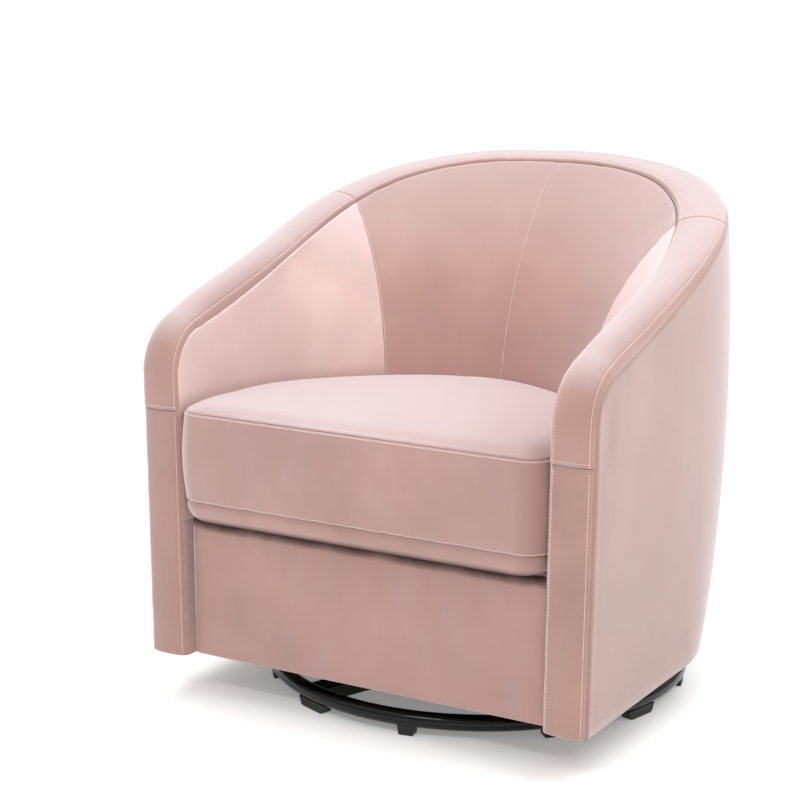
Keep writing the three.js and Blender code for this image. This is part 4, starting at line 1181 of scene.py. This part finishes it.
# How far a foot reaches inside and outside of the ring's line, and the sections of both kinds.
FOOT_IN, FOOT_OUT = 0.0100, 0.0080
SHOE = [(-0.022, 0), (0.022, 0), (0.026, 0.0015), (0.032, 0.0145), (-0.032, 0.0145), (-0.026, 0.0015)]
GLIDE = [(-0.010, 0), (0.010, 0), (0.0115, 0.0015), (0.014, 0.0165), (-0.014, 0.0165), (-0.0115, 0.0015)]


def turned_about_swivel(points, degrees):
    a = math.radians(degrees)
    p = np.asarray(points, float)
    x = p[:, 0] * math.cos(a) - p[:, 1] * math.sin(a)
    y = p[:, 0] * math.sin(a) + p[:, 1] * math.cos(a) + SWIVEL_Y
    return np.stack([x, y, p[:, 2]], -1)


def build_ring():
    a = np.linspace(0, 2 * np.pi, 193)[:-1]
    b = np.linspace(0, 2 * np.pi, 29)[:-1]
    r = RING_R + TUBE_R * np.cos(b)[None]
    x, y = r * np.cos(a)[:, None], r * np.sin(a)[:, None] + SWIVEL_Y
    z = np.broadcast_to(RING_Z + TUBE_R * np.sin(b)[None], x.shape)
    index = np.arange(x.size).reshape(x.shape)
    index = np.vstack([index, index[:1]])
    index = np.hstack([index, index[:, :1]])
    points = np.stack([x, y, z], -1)
    ring = make_object("ring_tube", points, grid_faces(index), base_steel, "base")
    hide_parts("base_ring")


def build_foot(name, section, turn, bevel, node):
    """Foot across the ring, with a section drawn in (y, z), turned about the swivel."""
    n = len(section)
    points = [(x, y, z) for x in (RING_R - FOOT_IN, RING_R + FOOT_OUT) for y, z in section]
    faces = [list(range(n))[::-1], list(range(n, 2 * n))]
    faces += [[k, (k + 1) % n, n + (k + 1) % n, n + k] for k in range(n)]
    piece = make_object(name, turned_about_swivel(points, turn), faces, foot_plastic, "base")
    edge = piece.modifiers.new("edges", "BEVEL")
    edge.width = bevel
    edge.segments = 3
    edge.harden_normals = True
    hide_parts(node)


build_ring()
for i, turn in enumerate(SPOKE_TURN):
    build_foot(f"spoke_shoe_{i + 1}", SHOE, turn, 1.2 * MM, f"spoke_foot_{i + 1}")
for i, turn in enumerate(FOOT_TURN):
    build_foot(f"ring_glide_{i + 1}", GLIDE, turn, 1.0 * MM, f"ring_foot_{i + 1}")

# ---------------- carried-over pieces
TIMBER_EDGE, STEEL_EDGE = 1.5 * MM, 0.8 * MM
finishes = {
    "base_steel": base_steel, "foot_plastic": foot_plastic, "zinc_steel": zinc_steel,
    "bumper_rubber": bumper_rubber, "frame_steel": frame_steel, "timber": frame_timber,
    "lining": black_lining, "shell_velvet": shell_velvet, "cushion_velvet": cushion_velvet,
}
slots = {p["node"]: p["material_slot"] for p in frame["record"]["subparts"]}
for node, obj in frame["nodes"].items():
    obj.data.materials.clear()
    obj.data.materials.append(finishes[slots[node]])
    if obj.hide_render or node.startswith("seat_spring"):
        continue
    edge = obj.modifiers.new("edges", "BEVEL")
    edge.width = TIMBER_EDGE if slots[node] == "timber" else STEEL_EDGE
    edge.segments = 2
    edge.limit_method = "ANGLE"
    edge.angle_limit = math.radians(40)
    edge.harden_normals = True

# ---------------- floor and light
FLOOR_HALF, FLOOR_GLOW = 90.0, 0.22
SKY_AT_HORIZON, SKY_OVERHEAD = 0.30, 1.30
floor_mesh = bpy.data.meshes.new("floor")
corners = [(x * FLOOR_HALF, y * FLOOR_HALF, 0) for x, y in ((-1, -1), (1, -1), (1, 1), (-1, 1))]
floor_mesh.from_pydata(corners, [], [[0, 1, 2, 3]])
floor = bpy.data.objects.new("floor", floor_mesh)
scene.collection.objects.link(floor)
floor_look = Nodes("floor_look")
paper = floor_look.noise(3.0, 2.0, 0.5)
floor_look.colour(floor_look.mix(paper, (0.93, 0.93, 0.93), (0.95, 0.95, 0.95)))
floor_look.set(Roughness=0.9, Emission_Color=(1, 1, 1, 1), Emission_Strength=FLOOR_GLOW)
floor_mesh.materials.append(floor_look.material)

world = bpy.data.worlds.new("studio")
world.use_nodes = True
sky = world.node_tree
sky_at = sky.nodes.new("ShaderNodeTexCoord")
sky_axes = sky.nodes.new("ShaderNodeSeparateXYZ")
sky_span = sky.nodes.new("ShaderNodeMapRange")
SKY_SPAN = {"From Min": 0.0, "From Max": 1.0, "To Min": SKY_AT_HORIZON, "To Max": SKY_OVERHEAD}
for key, value in SKY_SPAN.items():
    sky_span.inputs[key].default_value = value
sky.links.new(sky_at.outputs["Generated"], sky_axes.inputs["Vector"])
sky.links.new(sky_axes.outputs["Z"], sky_span.inputs["Value"])
sky.links.new(sky_span.outputs["Result"], sky.nodes["Background"].inputs["Strength"])
sky.nodes["Background"].inputs["Color"].default_value = (1, 1, 1, 1)
scene.world = world


def area_light(name, location, target, size, power):
    data = bpy.data.lights.new(name, "AREA")
    data.shape = "RECTANGLE"
    data.size, data.size_y = size
    data.energy = power
    light = bpy.data.objects.new(name, data)
    light.location = location
    light.rotation_euler = (Vector(target) - Vector(location)).to_track_quat("-Z", "Y").to_euler()
    scene.collection.objects.link(light)


area_light("left_high", (-1.2, 0.2, 3.0), (0, -0.05, 0.4), (1.0, 1.4), 26)
area_light("right_high", (1.8, -0.1, 2.5), (0, -0.05, 0.4), (1.6, 1.6), 26)
area_light("front_strip", (0.3, -2.2, 2.0), (0, -0.2, 0.03), (1.6, 0.08), 12)
